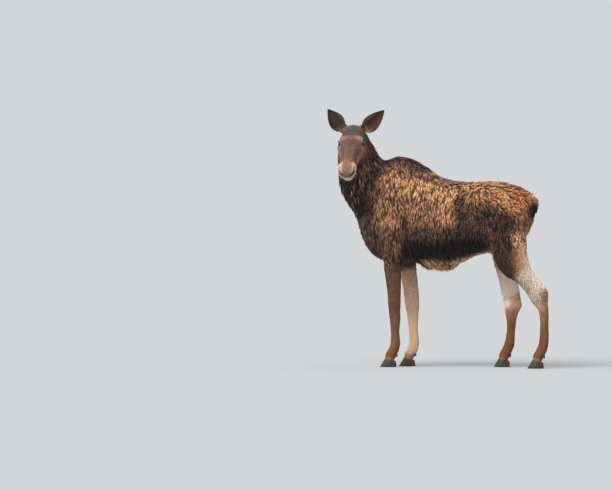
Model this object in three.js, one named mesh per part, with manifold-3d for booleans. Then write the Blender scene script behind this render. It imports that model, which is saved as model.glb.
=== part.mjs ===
// A standing moose, life size, in millimetres: +X is its left side, +Y its rear, +Z up and z = 0 the floor.
// It stands with its head turned to its left. Every size includes the coat.
//
// The flesh is one smooth shape, a field that is negative inside: sweeps for the trunk and the head, limbs for
// the neck and the legs, and short limbs for the muscles. It is meshed region by region, and flat cuts part
// the regions. Ears, eyes, claws, dewclaws and tail are solids of their own.
import * as THREE from "three";
import Module from "manifold-3d";

const wasm = await Module();
wasm.setup();

// ---------------------------------------------------------------- driving dimensions

const GAP = 0.3; // between solids that touch
const CUTTER = 8000; // edge of the boxes that cut
const HEAD_PITCH = 36; // degrees that the face slopes below the horizontal
const HEAD_TURN = 97; // degrees that the head is turned to the left from straight ahead
const POLL = [128, -806, 1984]; // the head's own axis starts here
const EYE = { side: 101, along: 188, up: 30, radius: 19 };

// The trunk from the chest to the rump: its top and bottom lines, half its width, and the height where it is
// widest. ridge is the section's exponent above that: under 2 it draws the back to a ridge.
const TRUNK = {
  stations: [
    { y: -620, top: 1600, bottom: 940, half: 168, widest: 1170, ridge: 1.9 },
    { y: -540, top: 1752, bottom: 908, half: 200, widest: 1160, ridge: 1.75 },
    { y: -447, top: 1802, bottom: 896, half: 216, widest: 1150, ridge: 1.6 },
    { y: -333, top: 1770, bottom: 890, half: 232, widest: 1150, ridge: 1.6 },
    { y: -200, top: 1694, bottom: 884, half: 252, widest: 1160, ridge: 1.75 },
    { y: -50, top: 1607, bottom: 884, half: 268, widest: 1165, ridge: 1.95 },
    { y: 100, top: 1576, bottom: 905, half: 272, widest: 1180, ridge: 2.1 },
    { y: 260, top: 1574, bottom: 950, half: 258, widest: 1215, ridge: 2.1 },
    { y: 420, top: 1568, bottom: 990, half: 240, widest: 1260, ridge: 2 },
    { y: 550, top: 1550, bottom: 1060, half: 212, widest: 1290, ridge: 2 },
    { y: 622, top: 1528, bottom: 1150, half: 180, widest: 1320, ridge: 2 },
  ],
  caps: [118, 104],
  lower: 2.3,
};

// The head along its own axis, from the poll to the upper lip, measured from that axis.
const HEAD = {
  stations: [
    { y: 0, top: 62, bottom: -105, half: 84, widest: -10, ridge: 2.2 },
    { y: 90, top: 76, bottom: -146, half: 105, widest: 5, ridge: 2.3 },
    { y: 180, top: 74, bottom: -152, half: 113, widest: 5, ridge: 2.3 },
    { y: 270, top: 60, bottom: -130, half: 98, widest: -14, ridge: 2 },
    { y: 360, top: 53, bottom: -104, half: 86, widest: -20, ridge: 1.9 },
    { y: 450, top: 61, bottom: -82, half: 77, widest: -18, ridge: 2 },
    { y: 520, top: 60, bottom: -68, half: 77, widest: -10, ridge: 2.2 },
    { y: 566, top: 44, bottom: -60, half: 75, widest: -10, ridge: 2.2 },
  ],
  caps: [60, 42],
  lower: 2.2,
};

// The legs' lines down from inside the trunk: outward from the midline, y, z, radii across and fore and aft.
const LEGS = {
  foreleg_left: {
    side: 1,
    line: [
      [158, -462, 1010, 66, 92], // elbow
      [150, -460, 850, 58, 82],
      [138, -451, 640, 47, 70],
      [131, -449, 525, 48, 65], // knee
      [127, -446, 415, 38, 54],
      [122, -446, 300, 33, 43],
      [120, -446, 175, 41, 49], // fetlock
      [120, -492, 92, 50, 47], // coronet
    ],
  },
  foreleg_right: {
    side: -1,
    line: [
      [158, -430, 1010, 66, 92],
      [150, -403, 850, 58, 80],
      [138, -372, 640, 49, 76],
      [131, -360, 541, 50, 73],
      [127, -352, 415, 38, 54],
      [122, -346, 300, 33, 44],
      [120, -340, 175, 41, 49],
      [120, -386, 92, 50, 47],
    ],
  },
  hindleg_left: {
    side: 1,
    line: [
      [140, 520, 1200, 92, 185],
      [160, 549, 1010, 84, 157],
      [160, 582, 900, 72, 141], // stifle
      [153, 665, 790, 58, 88],
      [146, 745, 690, 45, 80],
      [142, 795, 608, 45, 80], // hock
      [140, 840, 500, 37, 48],
      [138, 850, 370, 33, 42],
      [136, 838, 180, 40, 48],
      [136, 790, 92, 50, 47],
    ],
    heel: [
      [152, 694, 850, 18, 26],
      [149, 738, 785, 18, 24],
      [143, 806, 722, 18, 24],
      [141, 866, 668, 22, 25], // point of the hock
      [140, 865, 590, 22, 26],
    ],
  },
  hindleg_right: {
    side: -1,
    line: [
      [140, 480, 1210, 92, 185],
      [156, 455, 1030, 84, 142],
      [156, 452, 910, 72, 112],
      [150, 466, 780, 58, 88],
      [143, 486, 670, 47, 82],
      [139, 499, 580, 46, 74],
      [137, 505, 490, 38, 60],
      [135, 507, 400, 35, 47],
      [134, 500, 300, 33, 42],
      [133, 486, 185, 40, 49],
      [133, 438, 92, 50, 47],
    ],
    heel: [
      [146, 515, 790, 18, 22],
      [141, 542, 690, 22, 26],
      [139, 560, 612, 24, 25],
      [138, 577, 552, 24, 27],
      [137, 562, 500, 22, 24],
    ],
  },
};
// How a pair of legs is parted: the plane that leaves the trunk passes through y and z, falls by lean degrees
// towards the front and by spread degrees outward; joint is the height of the cut at the knee or the hock.
const PARTING = {
  foreleg: { y: -440, z: 884, lean: 0, spread: 4, joint: 450, reach: [-690, -200], inner: 50 },
  hindleg: { y: 390, z: 945, lean: 20, spread: 8, joint: 545, reach: [220, 1050], inner: 12 },
};

// The neck from inside the shoulders to the head.
const NECK = [
  [0, -500, 1290, 182, 300],
  [2, -630, 1450, 170, 255],
  [14, -735, 1600, 154, 214],
  [40, -792, 1740, 138, 180],
  [70, -815, 1880, 116, 148],
];

// Muscles, bones and long hair, blended over the given width. Those off the midline are on both sides.
const MUSCLES = [
  { name: "shoulder blade", blend: 90, line: [[105, -440, 1560, 70, 120], [168, -590, 1220, 80, 130]] },
  { name: "upper arm", blend: 60, line: [[172, -590, 1180, 78, 118], [168, -455, 1030, 76, 108]] },
  { name: "haunch", blend: 80, line: [[110, 400, 1400, 105, 165], [128, 515, 1250, 105, 150]] },
  { name: "hip bone", blend: 60, line: [[178, 350, 1430, 42, 48], [160, 390, 1410, 45, 55]] },
  { name: "buttock", blend: 70, line: [[92, 640, 1350, 68, 80], [104, 566, 1215, 70, 78]] },
  {
    name: "brisket", blend: 70, middle: true,
    line: [[0, -640, 1120, 120, 104], [0, -560, 985, 108, 82], [0, -400, 960, 92, 66]],
  },
  {
    name: "throat", blend: 60, middle: true,
    line: [[30, -880, 1640, 62, 70], [22, -912, 1545, 52, 62], [10, -850, 1430, 60, 60]],
  },
  {
    name: "belly fringe", blend: 44, middle: true,
    line: [[0, -235, 890, 110, 44], [0, -130, 872, 100, 54], [0, 15, 876, 96, 50], [0, 120, 922, 80, 34]],
  },
];

// The same in the head's own axes: outward, along the face, up from it.
const FACE = [
  { name: "cheek", blend: 30, line: [[66, 110, -84, 34, 60], [62, 205, -70, 34, 54]] },
  { name: "brow", blend: 22, line: [[86, 150, 46, 24, 24], [99, 190, 52, 18, 16]] },
  { name: "cheek bone", blend: 24, line: [[100, 175, -6, 16, 20], [82, 300, -24, 14, 20]] },
  { name: "nostril wing", blend: 22, line: [[54, 524, 14, 26, 34], [50, 566, 0, 26, 30]] },
  { name: "ear root", blend: 26, line: [[58, 12, 22, 38, 36], [86, -4, 40, 27, 27]] },
  {
    name: "lower jaw", blend: 10, middle: true,
    line: [[0, 110, -108, 70, 46], [0, 330, -94, 54, 42], [0, 460, -90, 50, 36], [0, 524, -88, 52, 34]],
  },
  { name: "upper lip", blend: 24, middle: true, line: [[0, 550, -20, 66, 34], [0, 578, -22, 62, 30]] },
  { name: "forelock", blend: 40, middle: true, line: [[0, 0, 52, 62, 30], [0, 80, 68, 50, 24]] },
];
const FACE_HOLLOWS = [
  { name: "nostril", blend: 12, line: [[82, 546, 26, 14, 15], [68, 590, 4, 14, 15]] },
  { name: "eye hollow", blend: 16, line: [[128, 184, 30, 18, 17], [126, 214, 20, 14, 14]] },
];

const TAIL = [[0, 672, 1456, 44, 40], [0, 737, 1412, 40, 37], [0, 748, 1344, 34, 27], [0, 730, 1286, 20, 16]];
// An ear leans outward from the face's own up, then back; its opening turns outward by twist.
const EAR = {
  root: [86, 4, 26], length: 240, half: 60,
  foot: 15, // half its width at the root, where the cup is narrowest
  curl: [118, 46], // degrees that the cup curls round to each side, at the root and at the tip
  wall: [11.2, 5.6], // its thickness at the root and at the tip
  bow: 26, // how far the tip bows back
  rings: [0, 0.12, 0.28, 0.48, 0.68, 0.86, 0.97],
};
const EARS = {
  left: { side: -1, lean: 46, back: 36, twist: 8 },
  right: { side: 1, lean: 37, back: 52, twist: 8 },
};
const CLAW = {
  toe: 84, heel: -46, half: 26, apart: 28, splay: 5,
  levels: [0, 12, 60, 112], // heights of its rings
  toeSlope: 0.62, heelSlope: 0.1, sideSlope: 0.02, // how far each face draws in with height
  bevel: 2.5, // round the sole
  inner: 0.8, // how far the inner side bulges, as a share of the outer one
};
const CORONET = { height: 66, tilt: 22 };
const DEWCLAW = { side: 24, back: 44, height: 132, length: 52, radius: 13, spread: 4, slant: 12 };

// ---------------------------------------------------------------- curves

const vec = (x, y, z) => new THREE.Vector3(x, y, z);
const radians = THREE.MathUtils.degToRad;
const { clamp, lerp } = THREE.MathUtils;
const eased = (t) => t * t * (3 - 2 * t);

// One value of a list of stations at y: a cubic through them, with the slopes of their neighbours.
function stationValue(stations, key, y) {
  const last = stations.length - 1;
  const slope = (i) => {
    const [a, b] = [stations[Math.max(i - 1, 0)], stations[Math.min(i + 1, last)]];
    return (b[key] - a[key]) / (b.y - a.y);
  };
  const i = clamp(stations.findIndex((s) => s.y > y) - 1, 0, last - 1);
  const from = y >= stations[last].y ? last - 1 : i;
  const [a, b] = [stations[from], stations[from + 1]];
  const step = b.y - a.y;
  const t = clamp((y - a.y) / step, 0, 1);
  const bend = step * t * (1 - t) * (slope(from) * (1 - t) - slope(from + 1) * t);
  return lerp(a[key], b[key], eased(t)) + bend;
}

// ---------------------------------------------------------------- fields

// A sweep of superellipses along y of the given frame, closed by two rounded caps.
function sweep({ stations, caps, lower }, frame = new THREE.Matrix4()) {
  const STEPS = 240;
  const inverse = frame.clone().invert();
  const [first, last] = [stations[0].y, stations.at(-1).y];
  const keys = ["top", "bottom", "half", "widest", "ridge"];
  const table = Array.from({ length: STEPS + 1 }, (_, i) =>
    keys.map((key) => stationValue(stations, key, lerp(first, last, i / STEPS))),
  );
  const p = vec(0, 0, 0);
  return (x, y, z) => {
    p.set(x, y, z).applyMatrix4(inverse);
    const along = clamp(p.y, first, last);
    const over = p.y - along;
    const at = ((along - first) / (last - first)) * STEPS;
    const row = table[Math.min(Math.floor(at), STEPS - 1)];
    const next = table[Math.min(Math.floor(at) + 1, STEPS)];
    const [top, bottom, half, widest, ridge] = row.map((v, i) => lerp(v, next[i], at % 1));
    const rise = p.z - widest;
    const height = rise > 0 ? top - widest : widest - bottom;
    const power = rise > 0 ? ridge : lower;
    const section = Math.pow(
      Math.pow(Math.abs(p.x) / half, power) + Math.pow(Math.abs(rise) / height, power),
      1 / power,
    );
    const ratio = Math.hypot(section, over / (over < 0 ? caps[0] : caps[1]));
    if (ratio < 1e-3) return -half;
    return Math.hypot(p.x, rise, over) * (1 - 1 / ratio);
  };
}

// A limb: elliptical sections along a smooth line of points [x, y, z, radius across, radius along the body].
function limb(line, { frame = new THREE.Matrix4(), side = 1, steps = 4 } = {}) {
  const FAR = 260; // past this distance the box's own is near enough
  const inverse = frame.clone().invert();
  const spans = line.length - 1;
  const curve = new THREE.CatmullRomCurve3(line.map((q) => vec(q[0] * side, q[1], q[2])));
  const samples = Array.from({ length: spans * steps + 1 }, (_, i) => {
    const from = Math.min(Math.floor(i / steps), spans - 1);
    const t = eased(i / steps - from);
    const radius = (k) => lerp(line[from][k], line[from + 1][k], t);
    return { at: curve.getPoint(i / steps / spans), across: radius(3), along: radius(4) };
  });
  const widest = Math.max(...line.map((q) => Math.max(q[3], q[4])));
  const box = new THREE.Box3().setFromPoints(samples.map((s) => s.at)).expandByScalar(widest);
  const [p, q, axis] = [vec(0, 0, 0), vec(0, 0, 0), vec(0, 0, 0)];
  return (x, y, z) => {
    p.set(x, y, z).applyMatrix4(inverse);
    const away = box.distanceToPoint(p);
    if (away > FAR) return away;
    let least = Infinity;
    for (let i = 0; i < samples.length - 1; i++) {
      const [a, b] = [samples[i], samples[i + 1]];
      axis.subVectors(b.at, a.at);
      const t = clamp(q.subVectors(p, a.at).dot(axis) / axis.lengthSq(), 0, 1);
      q.addScaledVector(axis, -t);
      const length = q.length();
      const rest = Math.sqrt(Math.max(length * length - q.x * q.x, 0));
      const ratio = Math.hypot(q.x / lerp(a.across, b.across, t), rest / lerp(a.along, b.along, t));
      least = Math.min(least, ratio < 1e-3 ? -a.across : length * (1 - 1 / ratio));
    }
    return least;
  };
}

// A smooth union: each shape is [field, width of its blend with those before it].
function union(shapes) {
  return (x, y, z) => {
    let d = shapes[0][0](x, y, z);
    for (const [field, width] of shapes.slice(1)) {
      const next = field(x, y, z);
      const overlap = Math.max(width - Math.abs(d - next), 0);
      d = Math.min(d, next) - (overlap * overlap) / (4 * width);
    }
    return d;
  };
}

// field with each [hollow, width of its blend] taken out.
function hollowed(field, hollows) {
  const solid = (x, y, z) => -field(x, y, z);
  const outside = union([[solid, 0], ...hollows]);
  return (x, y, z) => -outside(x, y, z);
}

// Both sides' fields of a list of muscles.
const bothSides = (muscles, frame) =>
  muscles.flatMap(({ line, blend, middle }) =>
    (middle ? [1] : [1, -1]).map((side) => [limb(line, { frame, side }), blend]),
  );

const headFrame = new THREE.Matrix4()
  .makeTranslation(...POLL)
  .multiply(new THREE.Matrix4().makeRotationZ(radians(HEAD_TURN - 180)))
  .multiply(new THREE.Matrix4().makeRotationX(radians(-HEAD_PITCH)));

const headField = hollowed(
  union([[sweep(HEAD, headFrame), 0], ...bothSides(FACE, headFrame)]),
  bothSides(FACE_HOLLOWS, headFrame),
);
const legFields = Object.values(LEGS).flatMap(({ line, heel, side }) => [
  [limb(line, { side }), 45],
  ...(heel ? [[limb(heel, { side }), 24]] : []),
]);
const flesh = union([
  [sweep(TRUNK), 0],
  [limb(NECK), 90],
  ...bothSides(MUSCLES),
  ...legFields,
  [headField, 40],
]);

// ---------------------------------------------------------------- meshing

// The field's surface inside a box of the given frame, as a closed solid: surface nets on a grid of the given
// cell, with each vertex moved onto the surface. The box closes what runs out of it.
function meshed(field, { low, high, cell, frame = new THREE.Matrix4() }) {
  const count = low.map((v, i) => Math.round((high[i] - v) / cell[i]));
  const step = low.map((v, i) => (high[i] - v) / count[i]);
  const stride = [1, count[0] + 1, (count[0] + 1) * (count[1] + 1)];
  const p = vec(0, 0, 0);
  const value = (a, b, c) => {
    const walls = [a, b, c].map((v, i) => Math.max(low[i] + step[i] / 2 - v, v - high[i] + step[i] / 2));
    p.set(a, b, c).applyMatrix4(frame);
    return Math.max(field(p.x, p.y, p.z), ...walls);
  };
  const place = (i, k) => low[k] + i * step[k];
  const values = [];
  for (let c = 0; c <= count[2]; c++)
    for (let b = 0; b <= count[1]; b++)
      for (let a = 0; a <= count[0]; a++) values.push(value(place(a, 0), place(b, 1), place(c, 2)));

  const vertexOf = new Map();
  const positions = [];
  const corners = [0, 1, 2, 3, 4, 5, 6, 7].map((n) => [n & 1, (n >> 1) & 1, (n >> 2) & 1]);
  const edges = corners.flatMap((u, i) =>
    corners.slice(i + 1).filter((v) => u.filter((w, k) => w !== v[k]).length === 1).map((v) => [u, v]),
  );
  const index = (a, b, c) => a + b * stride[1] + c * stride[2];
  const onSurface = (q) => {
    const STEP = 0.5;
    for (let turn = 0; turn < 3; turn++) {
      const slope = [0, 1, 2].map((k) => {
        const [ahead, behind] = [[...q], [...q]];
        ahead[k] += STEP;
        behind[k] -= STEP;
        return (value(...ahead) - value(...behind)) / (2 * STEP);
      });
      const steep = slope.reduce((sum, v) => sum + v * v, 0);
      const move = value(...q) / Math.max(steep, 0.05);
      q = q.map((v, k) => v - clamp(move * slope[k], -step[k] / 3, step[k] / 3));
    }
    return q;
  };
  for (let c = 0; c < count[2]; c++)
    for (let b = 0; b < count[1]; b++)
      for (let a = 0; a < count[0]; a++) {
        const crossings = [];
        for (const [u, v] of edges) {
          const from = values[index(a + u[0], b + u[1], c + u[2])];
          const to = values[index(a + v[0], b + v[1], c + v[2])];
          if (from < 0 === to < 0) continue;
          const t = from / (from - to);
          crossings.push([a, b, c].map((n, k) => place(n + lerp(u[k], v[k], t), k)));
        }
        if (!crossings.length) continue;
        const middle = [0, 1, 2].map((k) => crossings.reduce((s, q) => s + q[k], 0) / crossings.length);
        vertexOf.set(index(a, b, c), positions.length);
        positions.push(vec(...onSurface(middle)).applyMatrix4(frame));
      }

  const triangles = [];
  for (let axis = 0; axis < 3; axis++) {
    const [u, v] = [(axis + 1) % 3, (axis + 2) % 3];
    for (let n = 0; n < values.length - stride[axis]; n++) {
      const cellAt = [n % stride[1], Math.floor(n / stride[1]) % (count[1] + 1), Math.floor(n / stride[2])];
      if (cellAt[axis] >= count[axis] || cellAt[u] === 0 || cellAt[v] === 0) continue;
      const [here, there] = [values[n] < 0, values[n + stride[axis]] < 0];
      if (here === there) continue;
      const around = [0, stride[u], stride[u] + stride[v], stride[v]].map((back) => vertexOf.get(n - back));
      const [a, b, c, d] = here ? around.reverse() : around;
      const [p1, p2, p3, p4] = [a, b, c, d].map((i) => positions[i]);
      const split = p1.distanceTo(p3) < p2.distanceTo(p4) ? [a, b, c, a, c, d] : [a, b, d, b, c, d];
      triangles.push(...split);
    }
  }
  return solidFrom(positions, triangles);
}

function solidFrom(positions, triangles) {
  const vertProperties = new Float32Array(positions.flatMap((q) => [q.x, q.y, q.z]));
  const made = new wasm.Manifold(
    new wasm.Mesh({ numProp: 3, vertProperties, triVerts: new Uint32Array(triangles) }),
  );
  if (made.volume() > 0) return made;
  const turned = triangles.map((_, i) => triangles[i - (i % 3) + [0, 2, 1][i % 3]]);
  return new wasm.Manifold(
    new wasm.Mesh({ numProp: 3, vertProperties, triVerts: new Uint32Array(turned) }),
  );
}

// A solid through closed rings of points. A ring's point i faces its last point less i across the ring, which
// is how the two ends are closed.
function loft(rings) {
  const size = rings[0].length;
  const triangles = [];
  for (let r = 0; r < rings.length - 1; r++)
    for (let i = 0; i < size; i++) {
      const [a, b] = [r * size + i, r * size + ((i + 1) % size)];
      triangles.push(a, b, b + size, a, b + size, a + size);
    }
  const cap = (start, turn) => {
    for (let i = 0; i < size / 2 - 1; i++) {
      const [a, b, c, d] = [i, i + 1, size - 2 - i, size - 1 - i].map((n) => start + n);
      for (const [u, v, w] of [[a, b, c], [a, c, d]]) triangles.push(...(turn ? [u, w, v] : [u, v, w]));
    }
  };
  cap(0, true);
  cap((rings.length - 1) * size, false);
  return solidFrom(rings.flat(), triangles);
}

// A box with one face on the plane through point, on the side that normal points to, moved in by inset.
function halfSpace(point, normal, inset = 0) {
  const towards = vec(...normal).normalize();
  const middle = vec(...point).addScaledVector(towards, CUTTER / 2 + inset);
  const turn = new THREE.Quaternion().setFromUnitVectors(vec(0, 0, 1), towards);
  const box = new THREE.BoxGeometry(CUTTER, CUTTER, CUTTER).toNonIndexed();
  box.applyMatrix4(new THREE.Matrix4().compose(middle, turn, vec(1, 1, 1)));
  return mergedSolid(box);
}

// A three.js geometry as a solid, its shared corners merged.
function mergedSolid(geometry) {
  const flat = geometry.index ? geometry.toNonIndexed() : geometry;
  const place = flat.getAttribute("position");
  const found = new Map();
  const points = [];
  const triangles = [];
  for (let i = 0; i < place.count; i++) {
    const q = vec(0, 0, 0).fromBufferAttribute(place, i);
    const key = q.toArray().map((v) => Math.round(v * 1000)).join();
    if (!found.has(key)) {
      found.set(key, points.length);
      points.push(q);
    }
    triangles.push(found.get(key));
  }
  const kept = [];
  for (let i = 0; i < triangles.length; i += 3) {
    const [a, b, c] = triangles.slice(i, i + 3);
    if (a !== b && b !== c && a !== c) kept.push(a, b, c);
  }
  return solidFrom(points, kept);
}

// The region inside every plane [point, normal into it], grown by grow on each.
const region = (planes, grow = 0) =>
  planes.map(([point, normal]) => halfSpace(point, normal, -grow)).reduce((a, b) => a.intersect(b));

// ---------------------------------------------------------------- where the flesh is parted

const sine = (degrees) => Math.sin(radians(degrees));
const cosine = (degrees) => Math.cos(radians(degrees));
const facing = HEAD_TURN - 90;
const HEAD_PLANES = [
  [[92, -820, 2050], [0.97 * cosine(facing), 0.97 * sine(facing), 0.235]],
  [[0, -540, 0], [0, -1, 0]],
  [[0, 0, 1440], [0, 0, 1]],
];
const MUZZLE_START = 462;
const muzzlePoint = vec(0, MUZZLE_START, 0).applyMatrix4(headFrame).toArray();
const faceAxis = vec(0, 1, 0).transformDirection(headFrame).toArray();
const MUZZLE_PLANES = [[muzzlePoint, faceAxis]];
const NECK_PLANES = [[[0, -530, 1760], [0, -0.861, 0.509]]];

const partingOf = (name) => PARTING[name.split("_")[0]];
const level = (z, up) => [[0, 0, z], [0, 0, up]];

// A leg's planes where it leaves the trunk, with those that keep it to its own side and place.
function legPlanes(name) {
  const { y, z, lean, spread, reach, inner } = partingOf(name);
  const { side } = LEGS[name];
  return [
    [[side * 150, y, z], [side * sine(spread), sine(lean) * cosine(spread), -cosine(lean) * cosine(spread)]],
    [[0, reach[0], 0], [0, 1, 0]],
    [[0, reach[1], 0], [0, -1, 0]],
    [[side * inner, 0, 0], [side, 0, 0]],
  ];
}

// The plane between a leg and its claws, facing up or down.
function coronetPlane({ line, side }, up) {
  const [across, y] = line.at(-1);
  return [[across * side, y, CORONET.height], [0, up * sine(CORONET.tilt), up * cosine(CORONET.tilt)]];
}

// ---------------------------------------------------------------- the solids

const nodes = {};

nodes.trunk = meshed(flesh, { low: [-330, -900, 790], high: [330, 800, 1880], cell: [73, 70, 86] });
nodes.trunk = [NECK_PLANES, HEAD_PLANES, ...Object.keys(LEGS).map(legPlanes)].reduce(
  (solid, planes) => solid.subtract(region(planes, GAP)),
  nodes.trunk,
);

nodes.neck = meshed(flesh, { low: [-240, -1040, 1130], high: [300, -480, 2120], cell: [62, 60, 66] })
  .intersect(region(NECK_PLANES))
  .subtract(region(HEAD_PLANES, GAP));

const skull = { low: [-184, -140, -290], high: [184, 500, 130], cell: [30, 34, 30], frame: headFrame };
nodes.head = meshed(flesh, skull)
  .intersect(region(HEAD_PLANES))
  .subtract(region(MUZZLE_PLANES, GAP));

const nose = { low: [-112, 440, -150], high: [112, 650, 90], cell: [20, 21, 20], frame: headFrame };
nodes.muzzle = meshed(flesh, nose).intersect(region(MUZZLE_PLANES));

for (const [name, leg] of Object.entries(LEGS)) {
  const { joint } = partingOf(name);
  const along = leg.line.map((q) => q[1]);
  const across = leg.side > 0 ? [8, 298] : [-298, -8];
  const box = (bottom, top, cell) => ({
    low: [across[0], Math.min(...along) - 200, bottom],
    high: [across[1], Math.max(...along) + 130, top],
    cell,
  });
  nodes[`${name}_upper`] = meshed(flesh, box(joint - 60, 1190, [35, 35, 52]))
    .intersect(region([...legPlanes(name), level(joint, 1)]));
  nodes[`${name}_lower`] = meshed(flesh, box(30, joint + 60, [24, 26, 50]))
    .intersect(region([level(joint - GAP, -1), coronetPlane(leg, 1)]));
}

// A solid with a body that it stands on taken out of it, and a gap left towards the given direction.
function standingOn(solid, body, direction) {
  const ASKEW = vec(0.11, 0.07, -0.05); // no face slides along its own plane
  const shift = vec(...direction).add(ASKEW).multiplyScalar(2 * GAP);
  return solid.subtract(body).subtract(body.translate(shift.toArray()));
}

// One claw: rings from the sole up, pointed at the toe, cut at the coronet.
function claw(leg, which) {
  const foot = leg.line.at(-1);
  const POINTS = 5; // along each side
  const turn = radians(CLAW.splay * which);
  const rings = CLAW.levels.map((height) => {
    const toe = CLAW.toe - CLAW.toeSlope * height;
    const heel = CLAW.heel + CLAW.heelSlope * height;
    const half = CLAW.half - (height === 0 ? CLAW.bevel : 0) - CLAW.sideSlope * height;
    const wall = (sign) =>
      Array.from({ length: POINTS }, (_, i) => {
        const t = lerp(0.09, 0.985, i / (POINTS - 1));
        const bulge = Math.pow(sine(180 * Math.pow(t, 0.8)), 0.62) * (sign === which ? 1 : CLAW.inner);
        const side = sign * half * bulge + which * CLAW.apart;
        const forward = lerp(heel, toe, i / (POINTS - 1));
        const outward = side * Math.cos(turn) + forward * Math.sin(turn);
        const ahead = forward * Math.cos(turn) - side * Math.sin(turn);
        return vec((foot[0] + outward) * leg.side, foot[1] - ahead, height);
      });
    return [...wall(1), ...wall(-1).reverse()];
  });
  return loft(rings).intersect(region([coronetPlane(leg, -1)], -GAP));
}

// One dewclaw: a blunt cone behind the pastern.
function dewclaw(leg, which) {
  const foot = leg.line.at(-1);
  const SIDES = 6;
  const rings = [0, 0.6, 1].map((t) => {
    const radius = DEWCLAW.radius * Math.sqrt(1 - 0.9 * t * t);
    return Array.from({ length: SIDES }, (_, i) => {
      const angle = ((i + 0.5) / SIDES) * 2 * Math.PI;
      return vec(
        (foot[0] + which * (DEWCLAW.side + DEWCLAW.spread * t) + radius * Math.cos(angle)) * leg.side,
        foot[1] + DEWCLAW.back + DEWCLAW.slant * t + radius * Math.sin(angle),
        DEWCLAW.height - DEWCLAW.length * t,
      );
    });
  });
  return loft(rings);
}

for (const [name, leg] of Object.entries(LEGS))
  for (const [which, word] of [[1, "outer"], [-1, "inner"]]) {
    nodes[`${name}_claw_${word}`] = claw(leg, which);
    const small = dewclaw(leg, which);
    nodes[`${name}_dewclaw_${word}`] = standingOn(small, nodes[`${name}_lower`], [0, 0.8, -0.6]);
  }

const tail = meshed(limb(TAIL), { low: [-70, 600, 1240], high: [70, 824, 1560], cell: [31, 31, 34] });
nodes.tail = standingOn(tail, nodes.trunk, [0, 1, 0]);

// An ear: a pointed cup of sections, each an arc with the wall's thickness, open towards the front. Its own
// axes are x across it, y towards its opening and z to its tip.
function ear({ side, lean, back, twist }) {
  const POINTS = 6; // across the cup
  const rings = EAR.rings.map((t) => {
    const half = EAR.foot * (1 - t) + EAR.half * Math.pow(sine(176 * Math.pow(t, 0.72)), 0.9);
    const curl = lerp(...EAR.curl, Math.pow(t, 0.6));
    const radius = half / sine(Math.min(curl, 90));
    const wall = lerp(...EAR.wall, t);
    const arc = (r) =>
      Array.from({ length: POINTS }, (_, i) => {
        const angle = curl * (1 - (2 * i) / (POINTS - 1));
        return vec(r * sine(angle), 0.6 * radius - r * cosine(angle) - EAR.bow * t * t, t * EAR.length);
      });
    return [...arc(radius), ...arc(Math.max(radius - wall, radius * 0.45)).reverse()];
  });
  const frame = headFrame
    .clone()
    .multiply(new THREE.Matrix4().makeTranslation(EAR.root[0] * side, EAR.root[1], EAR.root[2]))
    .multiply(new THREE.Matrix4().makeRotationX(radians(back)))
    .multiply(new THREE.Matrix4().makeRotationY(radians(lean * side)))
    .multiply(new THREE.Matrix4().makeRotationZ(radians(-twist * side)));
  const solid = loft(rings.map((ring) => ring.map((q) => q.clone().applyMatrix4(frame))));
  const tip = vec(0, 0, 1).transformDirection(frame).toArray();
  return standingOn(standingOn(solid, nodes.head, tip), nodes.neck, tip);
}

for (const [name, pose] of Object.entries(EARS)) {
  nodes[`ear_${name}`] = ear(pose);
  const at = vec(EYE.side * pose.side, EYE.along, EYE.up).applyMatrix4(headFrame);
  const ball = (radius) =>
    mergedSolid(new THREE.SphereGeometry(radius, 12, 7).translate(at.x, at.y, at.z));
  nodes[`eye_${name}`] = ball(EYE.radius);
  nodes.head = nodes.head.subtract(ball(EYE.radius + 2 * GAP));
}

// ---------------------------------------------------------------- materials and the group

const material = (color, roughness) => new THREE.MeshStandardMaterial({ color, roughness, metalness: 0 });
const MATERIALS = {
  coat: material(0x5a3b26, 0.85),
  neck: material(0x45301f, 0.85),
  face: material(0x5c4436, 0.8),
  muzzle: material(0x8d7a69, 0.7),
  leg: material(0x8f8172, 0.85),
  claw: material(0x2b2420, 0.45),
  eye: material(0x1a100a, 0.1),
};

function materialOf(name) {
  if (name.includes("claw")) return MATERIALS.claw;
  if (name.startsWith("eye")) return MATERIALS.eye;
  if (name.endsWith("_lower")) return MATERIALS.leg;
  if (name === "neck") return MATERIALS.neck;
  if (name === "muzzle") return MATERIALS.muzzle;
  if (name === "head" || name.startsWith("ear")) return MATERIALS.face;
  return MATERIALS.coat;
}

// The largest body of a solid, as a mesh. A cut can leave a crumb of a cell beside it.
function meshOf(name, solid) {
  const largest = solid.decompose().sort((a, b) => b.volume() - a.volume())[0];
  const { vertProperties, triVerts, numProp } = largest.getMesh();
  const places = [];
  for (let i = 0; i < vertProperties.length; i += numProp) places.push(...vertProperties.subarray(i, i + 3));
  const geometry = new THREE.BufferGeometry()
    .setAttribute("position", new THREE.Float32BufferAttribute(places, 3))
    .setIndex([...triVerts]);
  geometry.computeVertexNormals();
  const mesh = new THREE.Mesh(geometry, materialOf(name));
  mesh.name = name;
  return mesh;
}

const moose = new THREE.Group();
for (const [name, solid] of Object.entries(nodes)) moose.add(meshOf(name, solid));

// The origin is under the middle of the whole.
const bounds = new THREE.Box3().setFromObject(moose);
const centre = bounds.getCenter(vec(0, 0, 0));
moose.position.set(-centre.x, -centre.y, -bounds.min.z);

export default moose;
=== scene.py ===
"""A moose, life size, standing with its head turned to its left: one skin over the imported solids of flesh,
and a coat of solid locks over the skin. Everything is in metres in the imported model's frame: +X is the
moose's left side, +Y its rear and +Z up."""

import math

import bmesh
import bpy
import numpy as np
import openvdb as vdb
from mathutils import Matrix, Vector
from mathutils.bvhtree import BVHTree
from mathutils.kdtree import KDTree


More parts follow.
